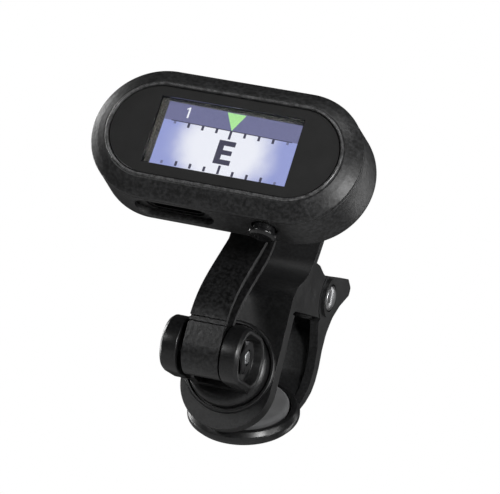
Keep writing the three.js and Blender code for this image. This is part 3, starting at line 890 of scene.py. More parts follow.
def lit_print(name, tone, strength, dither=0.06):
    """A lit mark on the display: one colour with the slight unevenness of a small colour panel."""
    material, tree = empty_material(name)

    panel_frame = tree.nodes.new("NodeFrame")
    panel_frame.label = "unevenness of the panel"

    coordinates = tree.nodes.new("ShaderNodeTexCoord")
    coordinates.label = "place on the display"
    coordinates.location = (-900, 0)

    cells = tree.nodes.new("ShaderNodeTexNoise")
    cells.label = "uneven cells"
    cells.location = (-680, 0)
    cells.parent = panel_frame
    cells.inputs["Scale"].default_value = 3800.0
    cells.inputs["Detail"].default_value = 2.0
    tree.links.new(coordinates.outputs["Object"], cells.inputs["Vector"])

    shade = tree.nodes.new("ShaderNodeValToRGB")
    shade.label = "mark from dimmer to brighter"
    shade.location = (-440, 0)
    shade.parent = panel_frame
    shade.color_ramp.elements[0].position = 0.3
    shade.color_ramp.elements[0].color = (*(np.array(tone) * (1 - dither)), 1)
    shade.color_ramp.elements[1].position = 0.7
    shade.color_ramp.elements[1].color = (*(np.array(tone) * (1 + dither)), 1)
    tree.links.new(cells.outputs["Fac"], shade.inputs["Fac"])

    surface = tree.nodes.new("ShaderNodeBsdfPrincipled")
    surface.label = "lit mark"
    surface.location = (-100, 0)
    surface.inputs["Base Color"].default_value = (0.004, 0.004, 0.005, 1)
    surface.inputs["Roughness"].default_value = 0.6
    surface.inputs["Specular IOR Level"].default_value = 0.1
    surface.inputs["Emission Strength"].default_value = strength
    tree.links.new(shade.outputs["Color"], surface.inputs["Emission Color"])

    out = tree.nodes.new("ShaderNodeOutputMaterial")
    out.label = "finished surface"
    out.location = (220, 0)
    tree.links.new(surface.outputs["BSDF"], out.inputs["Surface"])
    return material


def lit_field(name, middle, edge, strength):
    """The display's lit field: white in the middle, fading to blue-violet towards both ends and corners."""
    material, tree = empty_material(name)

    fade_frame = tree.nodes.new("NodeFrame")
    fade_frame.label = "fade towards the ends"
    cell_frame = tree.nodes.new("NodeFrame")
    cell_frame.label = "uneven backlight"

    coordinates = tree.nodes.new("ShaderNodeTexCoord")
    coordinates.label = "place on the display"
    coordinates.location = (-1300, 0)

    centred = tree.nodes.new("ShaderNodeMapping")
    centred.label = "measured from the readout's middle"
    centred.location = (-1080, 0)
    centred.parent = fade_frame
    middle_place = HEAD.place([[0.0, LIT_DEPTH, -0.9]])[0] * MM
    centred.vector_type = "TEXTURE"
    centred.inputs["Location"].default_value = tuple(middle_place)
    centred.inputs["Scale"].default_value = (0.5 * LIT_WIDTH * MM, 14 * MM, 8.8 * MM)
    tree.links.new(coordinates.outputs["Object"], centred.inputs["Vector"])

    reach = tree.nodes.new("ShaderNodeVectorMath")
    reach.label = "distance from the middle"
    reach.location = (-860, 0)
    reach.parent = fade_frame
    reach.operation = "LENGTH"
    tree.links.new(centred.outputs["Vector"], reach.inputs[0])

    clouds = tree.nodes.new("ShaderNodeTexNoise")
    clouds.label = "uneven light from the diffuser"
    clouds.location = (-1080, -300)
    clouds.parent = cell_frame
    clouds.inputs["Scale"].default_value = 330.0
    clouds.inputs["Detail"].default_value = 2.0
    tree.links.new(coordinates.outputs["Object"], clouds.inputs["Vector"])

    uneven = tree.nodes.new("ShaderNodeMath")
    uneven.label = "fade with the diffuser's clouds"
    uneven.location = (-640, -120)
    uneven.parent = cell_frame
    uneven.operation = "MULTIPLY_ADD"
    uneven.inputs[1].default_value = 0.22
    tree.links.new(clouds.outputs["Fac"], uneven.inputs[0])
    tree.links.new(reach.outputs["Value"], uneven.inputs[2])

    field = tree.nodes.new("ShaderNodeValToRGB")
    field.label = "white middle to blue-violet ends"
    field.location = (-420, 0)
    field.parent = fade_frame
    field.color_ramp.interpolation = "EASE"
    field.color_ramp.elements[0].position = 0.52
    field.color_ramp.elements[0].color = (*middle, 1)
    field.color_ramp.elements[1].position = 1.0
    field.color_ramp.elements[1].color = (*edge, 1)
    tree.links.new(uneven.outputs["Value"], field.inputs["Fac"])

    surface = tree.nodes.new("ShaderNodeBsdfPrincipled")
    surface.label = "lit field"
    surface.location = (-60, 0)
    surface.inputs["Base Color"].default_value = (0.004, 0.004, 0.006, 1)
    surface.inputs["Roughness"].default_value = 0.5
    surface.inputs["Specular IOR Level"].default_value = 0.1
    surface.inputs["Emission Strength"].default_value = strength
    tree.links.new(field.outputs["Color"], surface.inputs["Emission Color"])

    out = tree.nodes.new("ShaderNodeOutputMaterial")
    out.label = "finished surface"
    out.location = (260, 0)
    tree.links.new(surface.outputs["BSDF"], out.inputs["Surface"])
    return material


def clear_acrylic(name):
    """The clear part of the window over the readout: smooth, with a trace of haze."""
    material, tree = empty_material(name)

    haze_frame = tree.nodes.new("NodeFrame")
    haze_frame.label = "trace of haze"

    coordinates = tree.nodes.new("ShaderNodeTexCoord")
    coordinates.label = "place on the window"
    coordinates.location = (-800, 0)

    touch = tree.nodes.new("ShaderNodeTexNoise")
    touch.label = "where fingertips dulled it"
    touch.location = (-580, 0)
    touch.parent = haze_frame
    touch.inputs["Scale"].default_value = 280.0
    touch.inputs["Detail"].default_value = 4.0
    tree.links.new(coordinates.outputs["Object"], touch.inputs["Vector"])

    dull = tree.nodes.new("ShaderNodeMapRange")
    dull.label = "almost polished"
    dull.location = (-360, 0)
    dull.parent = haze_frame
    dull.inputs["From Min"].default_value = 0.4
    dull.inputs["From Max"].default_value = 0.8
    dull.inputs["To Max"].default_value = 0.03
    tree.links.new(touch.outputs["Fac"], dull.inputs["Value"])

    surface = tree.nodes.new("ShaderNodeBsdfPrincipled")
    surface.label = "clear acrylic"
    surface.location = (-60, 0)
    surface.inputs["Base Color"].default_value = (0.97, 0.98, 1.0, 1)
    surface.inputs["IOR"].default_value = 1.49
    surface.inputs["Transmission Weight"].default_value = 1.0
    surface.inputs["Specular IOR Level"].default_value = 0.35
    tree.links.new(dull.outputs["Result"], surface.inputs["Roughness"])

    out = tree.nodes.new("ShaderNodeOutputMaterial")
    out.label = "finished surface"
    out.location = (260, 0)
    tree.links.new(surface.outputs["BSDF"], out.inputs["Surface"])
    return material


def printed_board(name, mask, copper):
    """Circuit board: solder mask over copper tracks, with the weave of the glass showing through."""
    material, tree = empty_material(name)

    track_frame = tree.nodes.new("NodeFrame")
    track_frame.label = "copper tracks"
    weave_frame = tree.nodes.new("NodeFrame")
    weave_frame.label = "glass weave"

    coordinates = tree.nodes.new("ShaderNodeTexCoord")
    coordinates.label = "place on the board"
    coordinates.location = (-1200, 0)

    tracks = tree.nodes.new("ShaderNodeTexVoronoi")
    tracks.label = "square routes of the tracks"
    tracks.location = (-920, 200)
    tracks.parent = track_frame
    tracks.distance = "CHEBYCHEV"
    tracks.feature = "F1"
    tracks.inputs["Scale"].default_value = 520.0
    tree.links.new(coordinates.outputs["Object"], tracks.inputs["Vector"])

    narrow = tree.nodes.new("ShaderNodeMapRange")
    narrow.label = "tracks kept narrow"
    narrow.location = (-680, 200)
    narrow.parent = track_frame
    narrow.inputs["From Min"].default_value = 0.42
    narrow.inputs["From Max"].default_value = 0.46
    tree.links.new(tracks.outputs["Distance"], narrow.inputs["Value"])

    colour = tree.nodes.new("ShaderNodeMix")
    colour.label = "mask over laminate or copper"
    colour.location = (-440, 200)
    colour.parent = track_frame
    colour.data_type = "RGBA"
    colour.inputs["A"].default_value = (*mask, 1)
    colour.inputs["B"].default_value = (*copper, 1)
    tree.links.new(narrow.outputs["Result"], colour.inputs["Factor"])

    weave = tree.nodes.new("ShaderNodeTexWave")
    weave.label = "strands of glass"
    weave.location = (-920, -160)
    weave.parent = weave_frame
    weave.inputs["Scale"].default_value = 900.0
    weave.inputs["Distortion"].default_value = 1.5
    tree.links.new(coordinates.outputs["Object"], weave.inputs["Vector"])

    bump = tree.nodes.new("ShaderNodeBump")
    bump.label = "strand height"
    bump.location = (-680, -160)
    bump.parent = weave_frame
    bump.inputs["Strength"].default_value = 0.3
    bump.inputs["Distance"].default_value = 0.01 * MM
    tree.links.new(weave.outputs["Fac"], bump.inputs["Height"])

    surface = tree.nodes.new("ShaderNodeBsdfPrincipled")
    surface.label = "varnished board"
    surface.location = (-120, 60)
    surface.inputs["Roughness"].default_value = 0.35
    tree.links.new(colour.outputs["Result"], surface.inputs["Base Color"])
    tree.links.new(bump.outputs["Normal"], surface.inputs["Normal"])

    out = tree.nodes.new("ShaderNodeOutputMaterial")
    out.label = "finished surface"
    out.location = (200, 60)
    tree.links.new(surface.outputs["BSDF"], out.inputs["Surface"])
    return material


PLASTIC = moulded_plastic("black_moulding", (0.0078, 0.0079, 0.0082), 0.33, 2900.0, 0.007)
HEAD_PLASTIC = moulded_plastic(
    "grained_moulding", (0.0105, 0.0106, 0.011), 0.42, 1900.0, 0.03, sparkle=0.75)
GRAINED_ARM = moulded_plastic("grained_arm", (0.0082, 0.0083, 0.0086), 0.36, 1900.0, 0.04, sparkle=0.75)
# Painted highlight: the lip's tone is several times the black plastic's, standing in for the light caught
# along its curved crest.
LIP_PAINTED_HIGHLIGHT = moulded_plastic("polished_lip_painted_highlight", (0.06, 0.06, 0.061), 0.25, 1700.0, 0.02)
CAP_PLASTIC = moulded_plastic("button_moulding", (0.008, 0.008, 0.0085), 0.24, 5200.0, 0.004)
MASK_PRINT = moulded_plastic("mask_card", (0.2, 0.2, 0.172), 0.6, 5000.0, 0.006, 0.08, 0.0)
INK = polished_window("printed_acrylic", (0.028, 0.028, 0.028), 0.09)
CLEAR = clear_acrylic("clear_acrylic")
STEEL = turned_metal("plated_steel", (0.66, 0.67, 0.69), 0.26, 3000.0, 0.5, (1, 0, 0))
DARK_STEEL = turned_metal("blackened_steel", (0.085, 0.085, 0.088), 0.3, 3000.0, 0.5, (1, 0, 0))
# Painted shade: the socket's steel is darkened to near black, standing in for the shade inside its pocket.
SOCKET_PAINTED_SHADE = turned_metal("socket_painted_shade", (0.05, 0.05, 0.052), 0.36, 3000.0, 0.5, (1, 0, 0))
RIVET_STEEL = turned_metal("polished_rivet", (0.56, 0.56, 0.57), 0.31, 300.0, 0.02, (1, 0, 0))
WIRE = turned_metal("drawn_wire", (0.42, 0.43, 0.45), 0.3, 2600.0, 0.3)
FOIL = turned_metal("pouch_foil", (0.55, 0.57, 0.6), 0.38, 700.0, 0.9)
BRASS = turned_metal("brass_disc", (0.62, 0.42, 0.14), 0.32, 2000.0, 0.4, (0, 1, 0))
GREY_RUBBER = soft_rubber("grey_rubber", (0.092, 0.093, 0.095), 0.86, 0.35)
BLACK_RUBBER = soft_rubber("black_rubber", (0.02, 0.02, 0.021), 0.82, 0.3)
BOARD = printed_board("green_board", (0.008, 0.075, 0.028), (0.03, 0.14, 0.05))
DIFFUSER = soft_rubber("white_diffuser", (0.75, 0.76, 0.74), 0.5, 0.1)
FIELD = lit_field("readout_field", (0.93, 0.94, 1.0), (0.34, 0.38, 0.7), 1.0)
BAND = lit_print("readout_band", (0.185, 0.19, 0.33), 1.0)
MARK = lit_print("readout_mark", (0.07, 0.068, 0.105), 1.0, 0.1)
FAINT_MARK = lit_print("readout_faint_mark", (0.19, 0.2, 0.33), 1.0, 0.1)
DIGIT = lit_print("readout_digit", (0.93, 0.94, 1.0), 1.0)
POINTER = lit_print("readout_pointer", (0.47, 0.88, 0.36), 1.0)


# ------------------------------------------------------------------ camera


def camera_at_the_object():
    """A long lens below the display's height, turned to the right side and rolled a little."""
    azimuth = math.radians(19.017)
    upward = math.radians(9.294)
    roll = math.radians(13.818)
    target = np.array([0.0, -7.53, 20.71])
    distance = 461.27
    turn = (
        Matrix.Rotation(azimuth, 4, "Z")
        @ Matrix.Rotation(math.pi / 2 + upward, 4, "X")
        @ Matrix.Rotation(roll, 4, "Z")
    )
    backwards = np.array(turn.col[2][:3])
    data = bpy.data.cameras.new("camera")
    data.sensor_fit = "HORIZONTAL"
    data.sensor_width = 36.0
    data.lens = 216.0
    data.clip_start = 0.01
    data.clip_end = 20.0
    camera = bpy.data.objects.new("camera", data)
    camera.matrix_world = Matrix.Translation((target + distance * backwards) * MM) @ turn
    bpy.context.scene.collection.objects.link(camera)
    bpy.context.scene.camera = camera


camera_at_the_object()

# ------------------------------------------------------------------ head


def bezel():
    """Front bezel: a wide crowned slope and a short upright side, with a polished lip round the window."""
    lip_outer = LENS_RADIUS + LIP
    section = rounded([
        (6.5, 1.15, 0), (LENS_RADIUS + 0.08, 1.15, 0), (LENS_RADIUS + 0.08, 0.3, 0.12),
        (lip_outer - 0.1, 0.3, 0), (lip_outer + 0.05, 0.34, 0.1), (9.1, 0.98, 4.0),
        (HEAD_RADIUS - 0.02, 1.9, 0.35), (HEAD_RADIUS, PARTING - 0.02, 0.08), (6.5, PARTING - 0.02, 0)])
    piece = swept_round(section, HEAD_HALF, seat=HEAD, closed=True, steps=160)
    piece.name = "bezel"
    smooth(piece, 50)
    finish_piece(piece, "head", HEAD_PLASTIC, "black_plastic", "front_bezel")
    crest = rounded([
        (LENS_RADIUS + 0.16, 0.7, 0), (LENS_RADIUS + 0.16, 0.04, 0.16), (LENS_RADIUS + 0.4, -0.06, 0.2),
        (LENS_RADIUS + 0.62, 0.12, 0.2), (LENS_RADIUS + 0.62, 0.7, 0)])
    lip = swept_round(crest, HEAD_HALF, seat=HEAD, closed=True, steps=160)
    lip.name = "window_lip"
    smooth(lip, 60)
    # The lip's pale material is a painted highlight.
    return finish_piece(lip, "head", LIP_PAINTED_HIGHLIGHT, "black_plastic", "front_bezel")


def window():
    """The window: black-printed acrylic with a clear block over the readout's opening."""
    edge = LENS_RADIUS - 0.02
    plate = swept_round(
        rounded([(edge, 1.1, 0.0), (edge, 0.32, 0.1), (3.0, 0.28, 0)], closed=False), HEAD_HALF, seat=HEAD,
        steps=160)
    around = np.array([-0.62, -0.3, 0.42, 0.4])
    sides = np.array([-LIT_WIDTH, -LIT_HEIGHT, LIT_WIDTH, LIT_HEIGHT]) / 2 + around
    opening = prism(rectangle(*sides, 0.12), 0.0, 2.0, ACROSS_Y, HEAD)
    combine(plate, opening, "DIFFERENCE")
    plate.name = "printed_window"
    smooth(plate, 40)
    finish_piece(plate, "head", INK, "gloss_window", "display_window")
    clear = prism(rectangle(*(sides + [0.03, 0.03, -0.03, -0.03]), 0.1), 0.31, 0.42, ACROSS_Y, HEAD)
    clear.name = "clear_window"
    smooth(clear)
    finish_piece(clear, "head", CLEAR, "gloss_window", "display_window")


def readout_plate(name, outline, depth, material):
    """A flat lit shape on the display, drawn across (u) and up (v) at one depth.

    Each point goes to u times the panel's turned across direction, plus v times its turned up
    direction, plus the panel's shift.
    """
    along_u = (math.cos(PANEL_TURN), math.sin(PANEL_TURN))
    along_v = (-math.sin(PANEL_TURN), math.cos(PANEL_TURN))
    outline = np.asarray(outline, float) @ np.array([along_u, along_v]) + PANEL_SHIFT
    piece = prism(outline, depth - PRINT_THICKNESS, depth, ACROSS_Y, HEAD)
    piece.name = name
    return finish_piece(piece, "head", material, "lcd")


def readout():
    """The lit readout: field, upper band, two rows of ticks, a pointer, a note letter and a digit."""
    half = LIT_WIDTH / 2
    top = LIT_HEIGHT / 2
    band_foot = top - 0.285 * LIT_HEIGHT
    spacing = 0.1035 * LIT_WIDTH
    tick = 0.19
    marks_depth = LIT_DEPTH - 0.03
    print_depth = marks_depth - PRINT_THICKNESS
    readout_plate("lit_field", rectangle(-half, -top, half, top), LIT_DEPTH, FIELD)
    readout_plate("lit_band", rectangle(-half, band_foot, half, top), marks_depth, BAND)
    readout_plate("band_line", rectangle(-half + 1.2, band_foot - 0.08, half - 1.2, band_foot + 0.05),
                  print_depth, MARK)
    for i in range(TICKS):
        u = (i - TICKS // 2) * spacing
        middle = i == TICKS // 2
        outermost = i in (0, TICKS - 1)
        reach = 1.4 if middle else 0.5 if outermost else 0.78
        ink = FAINT_MARK if outermost else MARK
        upper = rectangle(u - tick, band_foot - reach, u + tick, band_foot - 0.02)
        lower = rectangle(u - tick, -top + 0.25, u + tick, -top + reach + 0.25)
        readout_plate(f"upper_tick_{i + 1}", upper, print_depth, ink)
        readout_plate(f"lower_tick_{i + 1}", lower, print_depth, ink)
    pointer = rounded([(-1.5, top - 0.1, 0.05), (0, band_foot + 0.02, 0.05), (1.5, top - 0.1, 0.05)])
    readout_plate("pointer", pointer, print_depth, POINTER)
    foot = -top + 1.85
    head = foot + 3.85
    bar = 0.8
    centre = (foot + head) / 2
    letter = rounded([
        (-1.3, foot, 0.04), (1.35, foot, 0.04), (1.35, foot + bar, 0.04), (-0.35, foot + bar, 0),
        (-0.35, centre - 0.36, 0), (1.15, centre - 0.36, 0.04), (1.15, centre + 0.4, 0.04),
        (-0.35, centre + 0.4, 0), (-0.35, head - bar, 0), (1.35, head - bar, 0.04), (1.35, head, 0.04),
        (-1.3, head, 0.04)])
    readout_plate("note_letter", letter, print_depth, MARK)
    left = -0.345 * LIT_WIDTH
    rise = top - 2.2
    digit = np.array([
        (left, rise), (left + 0.27, rise), (left + 0.27, rise + 1.75), (left + 0.08, rise + 1.75),
        (left - 0.3, rise + 1.5), (left - 0.3, rise + 1.3), (left, rise + 1.46)])
    readout_plate("channel_digit", digit, print_depth, DIGIT)


def housing():
    """Rear housing: a deep shell with a rounded back, the yoke, screw wells, socket slot and button hole.

    The shell leans: a point at depth d is moved by d less the parting depth, times the lean, so the
    front edge stays under the bezel. Its straight length grows evenly from the parting to the back.
    """
    back = HEAD_DEPTH
    radius = HEAD_RADIUS
    wall = 1.25
    lean_right = 0.07
    lean_down = 0.045
    growth = 0.15
    section = rounded([
        (4.0, PARTING + 0.08, 0), (radius - 0.03, PARTING + 0.08, 0.08), (radius, 4.0, 0),
        (radius + 0.12, back, 1.55), (4.0, back, 0)], closed=False, steps=10)
    lean = np.array([lean_right, 0.0, 0.0]) - lean_down * RISE
    shell_seat = Seat(HEAD.origin - PARTING * lean, ([1, 0, 0], DEPTH + lean, RISE))
    longer = HEAD_HALF + growth * np.clip((section[:, 1] - PARTING) / (back - PARTING), 0, 1)
    shell = swept_round(section, longer, seat=shell_seat, steps=160)
    cavity = swept_round(
        rounded([(4.0, PARTING - 1, 0), (radius - wall, PARTING - 1, 0), (radius - wall, back - wall, 0.8),
                 (4.0, back - wall, 0)], closed=False),
        HEAD_HALF, seat=HEAD, steps=96)
    combine(shell, cavity, "DIFFERENCE")

    def yoke_ear(side):
        """A tapering flank ending in a round knob about the upper hinge."""
        low, high = sorted((side * EAR_INNER, side * YOKE_OUTER))
        flank = prism(rounded([
            (back - 1, -4.2, 0), (YOKE_DEPTH, YOKE_RISE - YOKE_RADIUS, 0),
            (YOKE_DEPTH + YOKE_RADIUS, YOKE_RISE, YOKE_RADIUS),
            (YOKE_DEPTH, YOKE_RISE + YOKE_RADIUS, 0), (back - 1, 6.6, 0)]), low, high, ACROSS_X, HEAD)
        knob = prism(circle(YOKE_DEPTH, YOKE_RISE, YOKE_RADIUS), low, high, ACROSS_X, HEAD)
        combine(knob, flank, "UNION")
        return knob

    web = prism(
        rounded([(back - 1, -4.6, 0), (12.6, -3.4, 0.4), (12.6, 5.8, 0.4), (back - 1, 7.0, 0)]),
        -YOKE_OUTER, YOKE_OUTER, ACROSS_X, HEAD)
    gap = prism(circle(YOKE_DEPTH, YOKE_RISE, TOP_KNUCKLE + 0.5), -EAR_INNER, EAR_INNER, ACROSS_X, HEAD)
    combine(web, gap, "DIFFERENCE")

    tools = [
        prism(stadium(SOCKET_X - 4.0, SOCKET_X + 4.0, SOCKET_DEPTH, 2.3), -12, -9.75, ACROSS_Z, HEAD),
        prism(stadium(SOCKET_X - 2.95, SOCKET_X + 2.95, SOCKET_DEPTH, 1.7), -12, -8, ACROSS_Z, HEAD),
        prism(circle(BUTTON_X, BUTTON_DEPTH, BUTTON_RADIUS + 0.12), -12, -8, ACROSS_Z, HEAD),
        prism(circle(YOKE_DEPTH, YOKE_RISE, NECK_BORE), -9, 9, ACROSS_X, HEAD),
    ]
    for side in (1, -1):
        low, high = sorted((side * (YOKE_OUTER - 0.7), side * 8))
        tools.append(prism(circle(YOKE_DEPTH, YOKE_RISE, NUT_RECESS), low, high, ACROSS_X, HEAD))
    for number in range(1, CASE_SCREWS + 1):
        low, high = corners(f"case_screw_{number}")
        middle = HEAD.axes @ ((low + high) / 2 - HEAD.origin)
        well = circle(middle[0], middle[2], SCREW_WELL, 48)
        tools.append(prism(well, back - 1.1, 12, ACROSS_Y, HEAD))
    piece = moulded("housing", [shell, *both_sides(yoke_ear), web], tools, edge=0.13)
    return finish_piece(piece, "head", HEAD_PLASTIC, "black_plastic", "rear_housing")


def button():
    """Push button: a round plunger with a wider crowned cap."""
    r = BUTTON_RADIUS
    section = rounded([
        (0.3, -12.2, 0), (r - 0.2, -12.13, 0.6), (r + 0.25, -11.8, 0.3), (r + 0.25, -11.4, 0.15),
        (r - 0.2, -11.32, 0.1), (r - 0.2, -9.05, 0), (r + 0.1, -9.05, 0), (r + 0.1, -8.7, 0),
        (0.3, -8.7, 0)], closed=False, steps=8)
    piece = swept_round(section, across=ACROSS_Z, seat=HEAD, centre=(BUTTON_X, BUTTON_DEPTH), steps=64)
    piece.name = "push_button"
    smooth(piece, 50)
    return finish_piece(piece, "button", CAP_PLASTIC, "black_plastic", "power_button")


# ------------------------------------------------------------------ arm


def arm():
    """Bowed arm: a ribbon with a channel down each side, a knuckle at each end and two grooves in front.

    The ribbon's middle line is a straight foot and two Bezier curves, the second ending at the head's
    hinge; the channels are the same line less a flange's thickness on both faces.
    """
    path = along(
        [(-16.5, 2.9), (-16.5, 5.6)],
        bezier([(-16.5, 5.6), (-16.7, 10.2), (-13.4, 13.4), (-8.6, 19.2)], 28),
        bezier([(-8.6, 19.2), (-5.0, 23.5), (-5.4, 28.4), (NECK[1], NECK[2] + 0.9)], 28))
    strap = prism(ribbon(path, ARM_THICK), -ARM_HALF, ARM_HALF, ACROSS_X)

    def channel(side):
        """The groove down one side of the arm."""
        return side_prism(ribbon(path, ARM_THICK - 2 * ARM_FLANGE), side, ARM_HALF - 1.1, ARM_HALF + 1)

    for groove in both_sides(channel):
        combine(strap, groove, "DIFFERENCE")
    lower = prism(circle(FORK[1], FORK[2], KNUCKLE), -ARM_HALF, ARM_HALF, ACROSS_X)
    upper = prism(circle(NECK[1], NECK[2], TOP_KNUCKLE), -ARM_HALF, ARM_HALF, ACROSS_X)
    seams = [
        prism(rectangle(-19.4, low, -17.9, low + SEAM_WIDTH), -ARM_HALF - 1, ARM_HALF + 1, ACROSS_X)
        for low in SEAM_FEET]
    bores = [
        prism(circle(FORK[1], FORK[2], HINGE_BORE, 48), -4, 4, ACROSS_X),
        prism(circle(NECK[1], NECK[2], NECK_BORE, 48), -4, 4, ACROSS_X)]
    piece = moulded("bowed_arm", [strap, lower, upper], [*seams, *bores], edge=0.16, segments=3)
    return finish_piece(piece, "arm", GRAINED_ARM, "black_plastic", "arm")


# ------------------------------------------------------------------ turntable and fork


def fork():
    """Swivelling disc with a rounded edge, a root block and two stadium ears, the ears recessed outside.

    Each ear's stadium is half the distance between the hinge and the rear end, to either side of the
    middle between them; the left ear's section stands between its own two faces.
    """
    base = swept_round(
        rounded([
            (0.5, DISC_BACK, 0), (DISC_RADIUS, DISC_BACK, 0), (DISC_RADIUS, DISC_FRONT, 1.35),
            (0.5, DISC_FRONT, 0)], closed=False, steps=12),
        centre=(0, SWIVEL[2]))
    block = rounded([(-9.6, -0.9, 0.6), (-5.0, -1.4, 0), (-5.0, 6.8, 0), (-9.6, 6.4, 0.5)])
    root = prism(block, -ROOT_HALF, ROOT_HALF, ACROSS_X)
    arm_room = prism(circle(FORK[1], FORK[2], KNUCKLE + 0.3), -EAR_INNER, EAR_INNER, ACROSS_X)
    strap_room = prism(rectangle(-10, -2, -6.8, 1.4), -EAR_INNER + 0.01, EAR_INNER - 0.01, ACROSS_X)
    combine(root, arm_room, "DIFFERENCE")
    combine(root, strap_room, "DIFFERENCE")

    def ear(side):
        """A stadium ear, recessed outside; its section runs outwards from its inner face."""
        middle = (FORK[1] + FORK_REAR) / 2
        half = (FORK_REAR - FORK[1]) / 2
        inner, outer = (EAR_INNER, EAR_OUTER) if side > 0 else LEFT_EAR
        recess = EAR_OUTER - 1.5
        section = np.array(rounded([
            (1.0, inner, 0), (FORK_RADIUS, inner, 0.2), (FORK_RADIUS, outer - 0.5, 0.3),
            (FORK_RADIUS - 0.4, outer, 0.3), (FORK_RADIUS - 0.95, outer, 0.25),
            (FORK_RADIUS - 1.2, recess, 0.15), (1.0, recess, 0)], closed=False, steps=6))
        section[:, 1] *= side
        return swept_round(section, half, ACROSS_X, centre=(middle, FORK[2]), steps=120)

    tools = [
        prism(circle(FORK[1], FORK[2], HINGE_BORE, 48), -9, 9, ACROSS_X),
        swept_round([(SWIVEL_BORE, -8.6), (SWIVEL_BORE, -3)], centre=(0, SWIVEL[2]), steps=48),
        swept_round([(0.72, -9), (0.72, -6.0)], centre=(-2.1, -0.3), steps=32)]
    piece = moulded("swivel_fork", [base, root, *both_sides(ear)], tools, edge=0.14)
    return finish_piece(piece, "turntable", PLASTIC, "black_plastic", "turntable_fork")


# ------------------------------------------------------------------ clip


def tray_outline(inset, top):
    """Straight sides above a half round lower end, set in by the inset, in X and Z."""
    r = JAW_HALF - inset
    angle = np.linspace(math.pi, 2 * math.pi, ROUND_STEPS // 2 + 1)
    foot = np.stack([r * np.cos(angle), r * np.sin(angle)], axis=1)
    return np.concatenate([foot, [(r, top), (-r, top)]])


def front_clip():
    """Front jaw: the pad's tray, a bent strap up to a ribbed thumb tab, two cheeks and their tongues."""
    tray = prism(tray_outline(0, TRAY_TOP), PLATE_FRONT, PLATE_BACK, ACROSS_Y)
    hollow = prism(tray_outline(1.2, TRAY_TOP - 1.2), PLATE_FRONT + 1.3, 1, ACROSS_Y)
    combine(tray, hollow, "DIFFERENCE")
    path = along(
        [(-2.55, 12.0), (-2.55, 13.6)],
        bezier([(-2.55, 13.6), (-2.55, 16.0), (-0.6, 17.0)]),
        bezier([(-0.6, 17.0), (2.6, 18.9), (3.4, 22.2)]),
        bezier([(3.4, 22.2), (6.1, 32.6)], 8))
    strap = prism(ribbon(path, STRAP), -JAW_HALF, JAW_HALF, ACROSS_X)
    tab = prism(along([(-8, 10), (8, 10)], bezier([(8, 27), (8, 34.4), (-8, 34.4), (-8, 27)], 32)), -5, 10,
                ACROSS_Y)
    combine(strap, tab, "INTERSECT")
    collar = swept_round(
        rounded([
            (6.72, -3.1, 0), (6.72, -3.95, 0.12), (COLLAR_RADIUS, -3.9, 0.25), (COLLAR_RADIUS, -3.1, 0)]),
        centre=(0, SWIVEL[2]), closed=True)
    cheek_outline = rounded([
        (-3.2, 11.6, 0), (-0.6, 13.3, 0.3), (12.4, 15.0, 0.4), (13.6, 21.3, 0.4), (9.0, 21.5, 1.0),
        (6.2, 22.2, 1.0), (3.2, 22.2, 0), (1.9, 19.2, 0), (-0.2, 17.2, 0), (-3.2, 15.0, 0)])

    def cheek(side):
        """A side wall with its tongue, cut back where the rear jaw's ear turns."""
        flank = side_prism(cheek_outline, side, JAW_HALF - FLANGE, JAW_HALF)
        tongue = side_prism(stadium(5.4, PIVOT[1], PIVOT[2], 3.1), side, *TONGUE)
        ear_room = side_prism(circle(PIVOT[1], PIVOT[2], EAR_RADIUS + 0.3), side, 5.75, 8)
        combine(flank, tongue, "UNION")
        combine(flank, ear_room, "DIFFERENCE")
        return flank

    ribs = [
        prism(circle(5.1 + 0.42 * i, 25.6 + 1.6 * i, 0.45, 24), -5.4, 5.4, ACROSS_X)
        for i in range(THUMB_RIBS)]
    tools = [
        swept_round([(SWIVEL_BORE, -5), (SWIVEL_BORE, 0)], centre=(0, SWIVEL[2]), steps=48),
        pin_bore()]
    solids = [tray, strap, collar, *both_sides(cheek), *ribs]
    piece = moulded("front_clip", solids, tools, edge=0.2, segments=3)
    return finish_piece(piece, "front_jaw", PLASTIC, "black_plastic", "front_jaw")


def pin_bore():
    """The hole for the rivet's shank, right across both jaws."""
    return prism(circle(PIVOT[1], PIVOT[2], PIN_RADIUS + 0.08, 48), -9, 9, ACROSS_X)


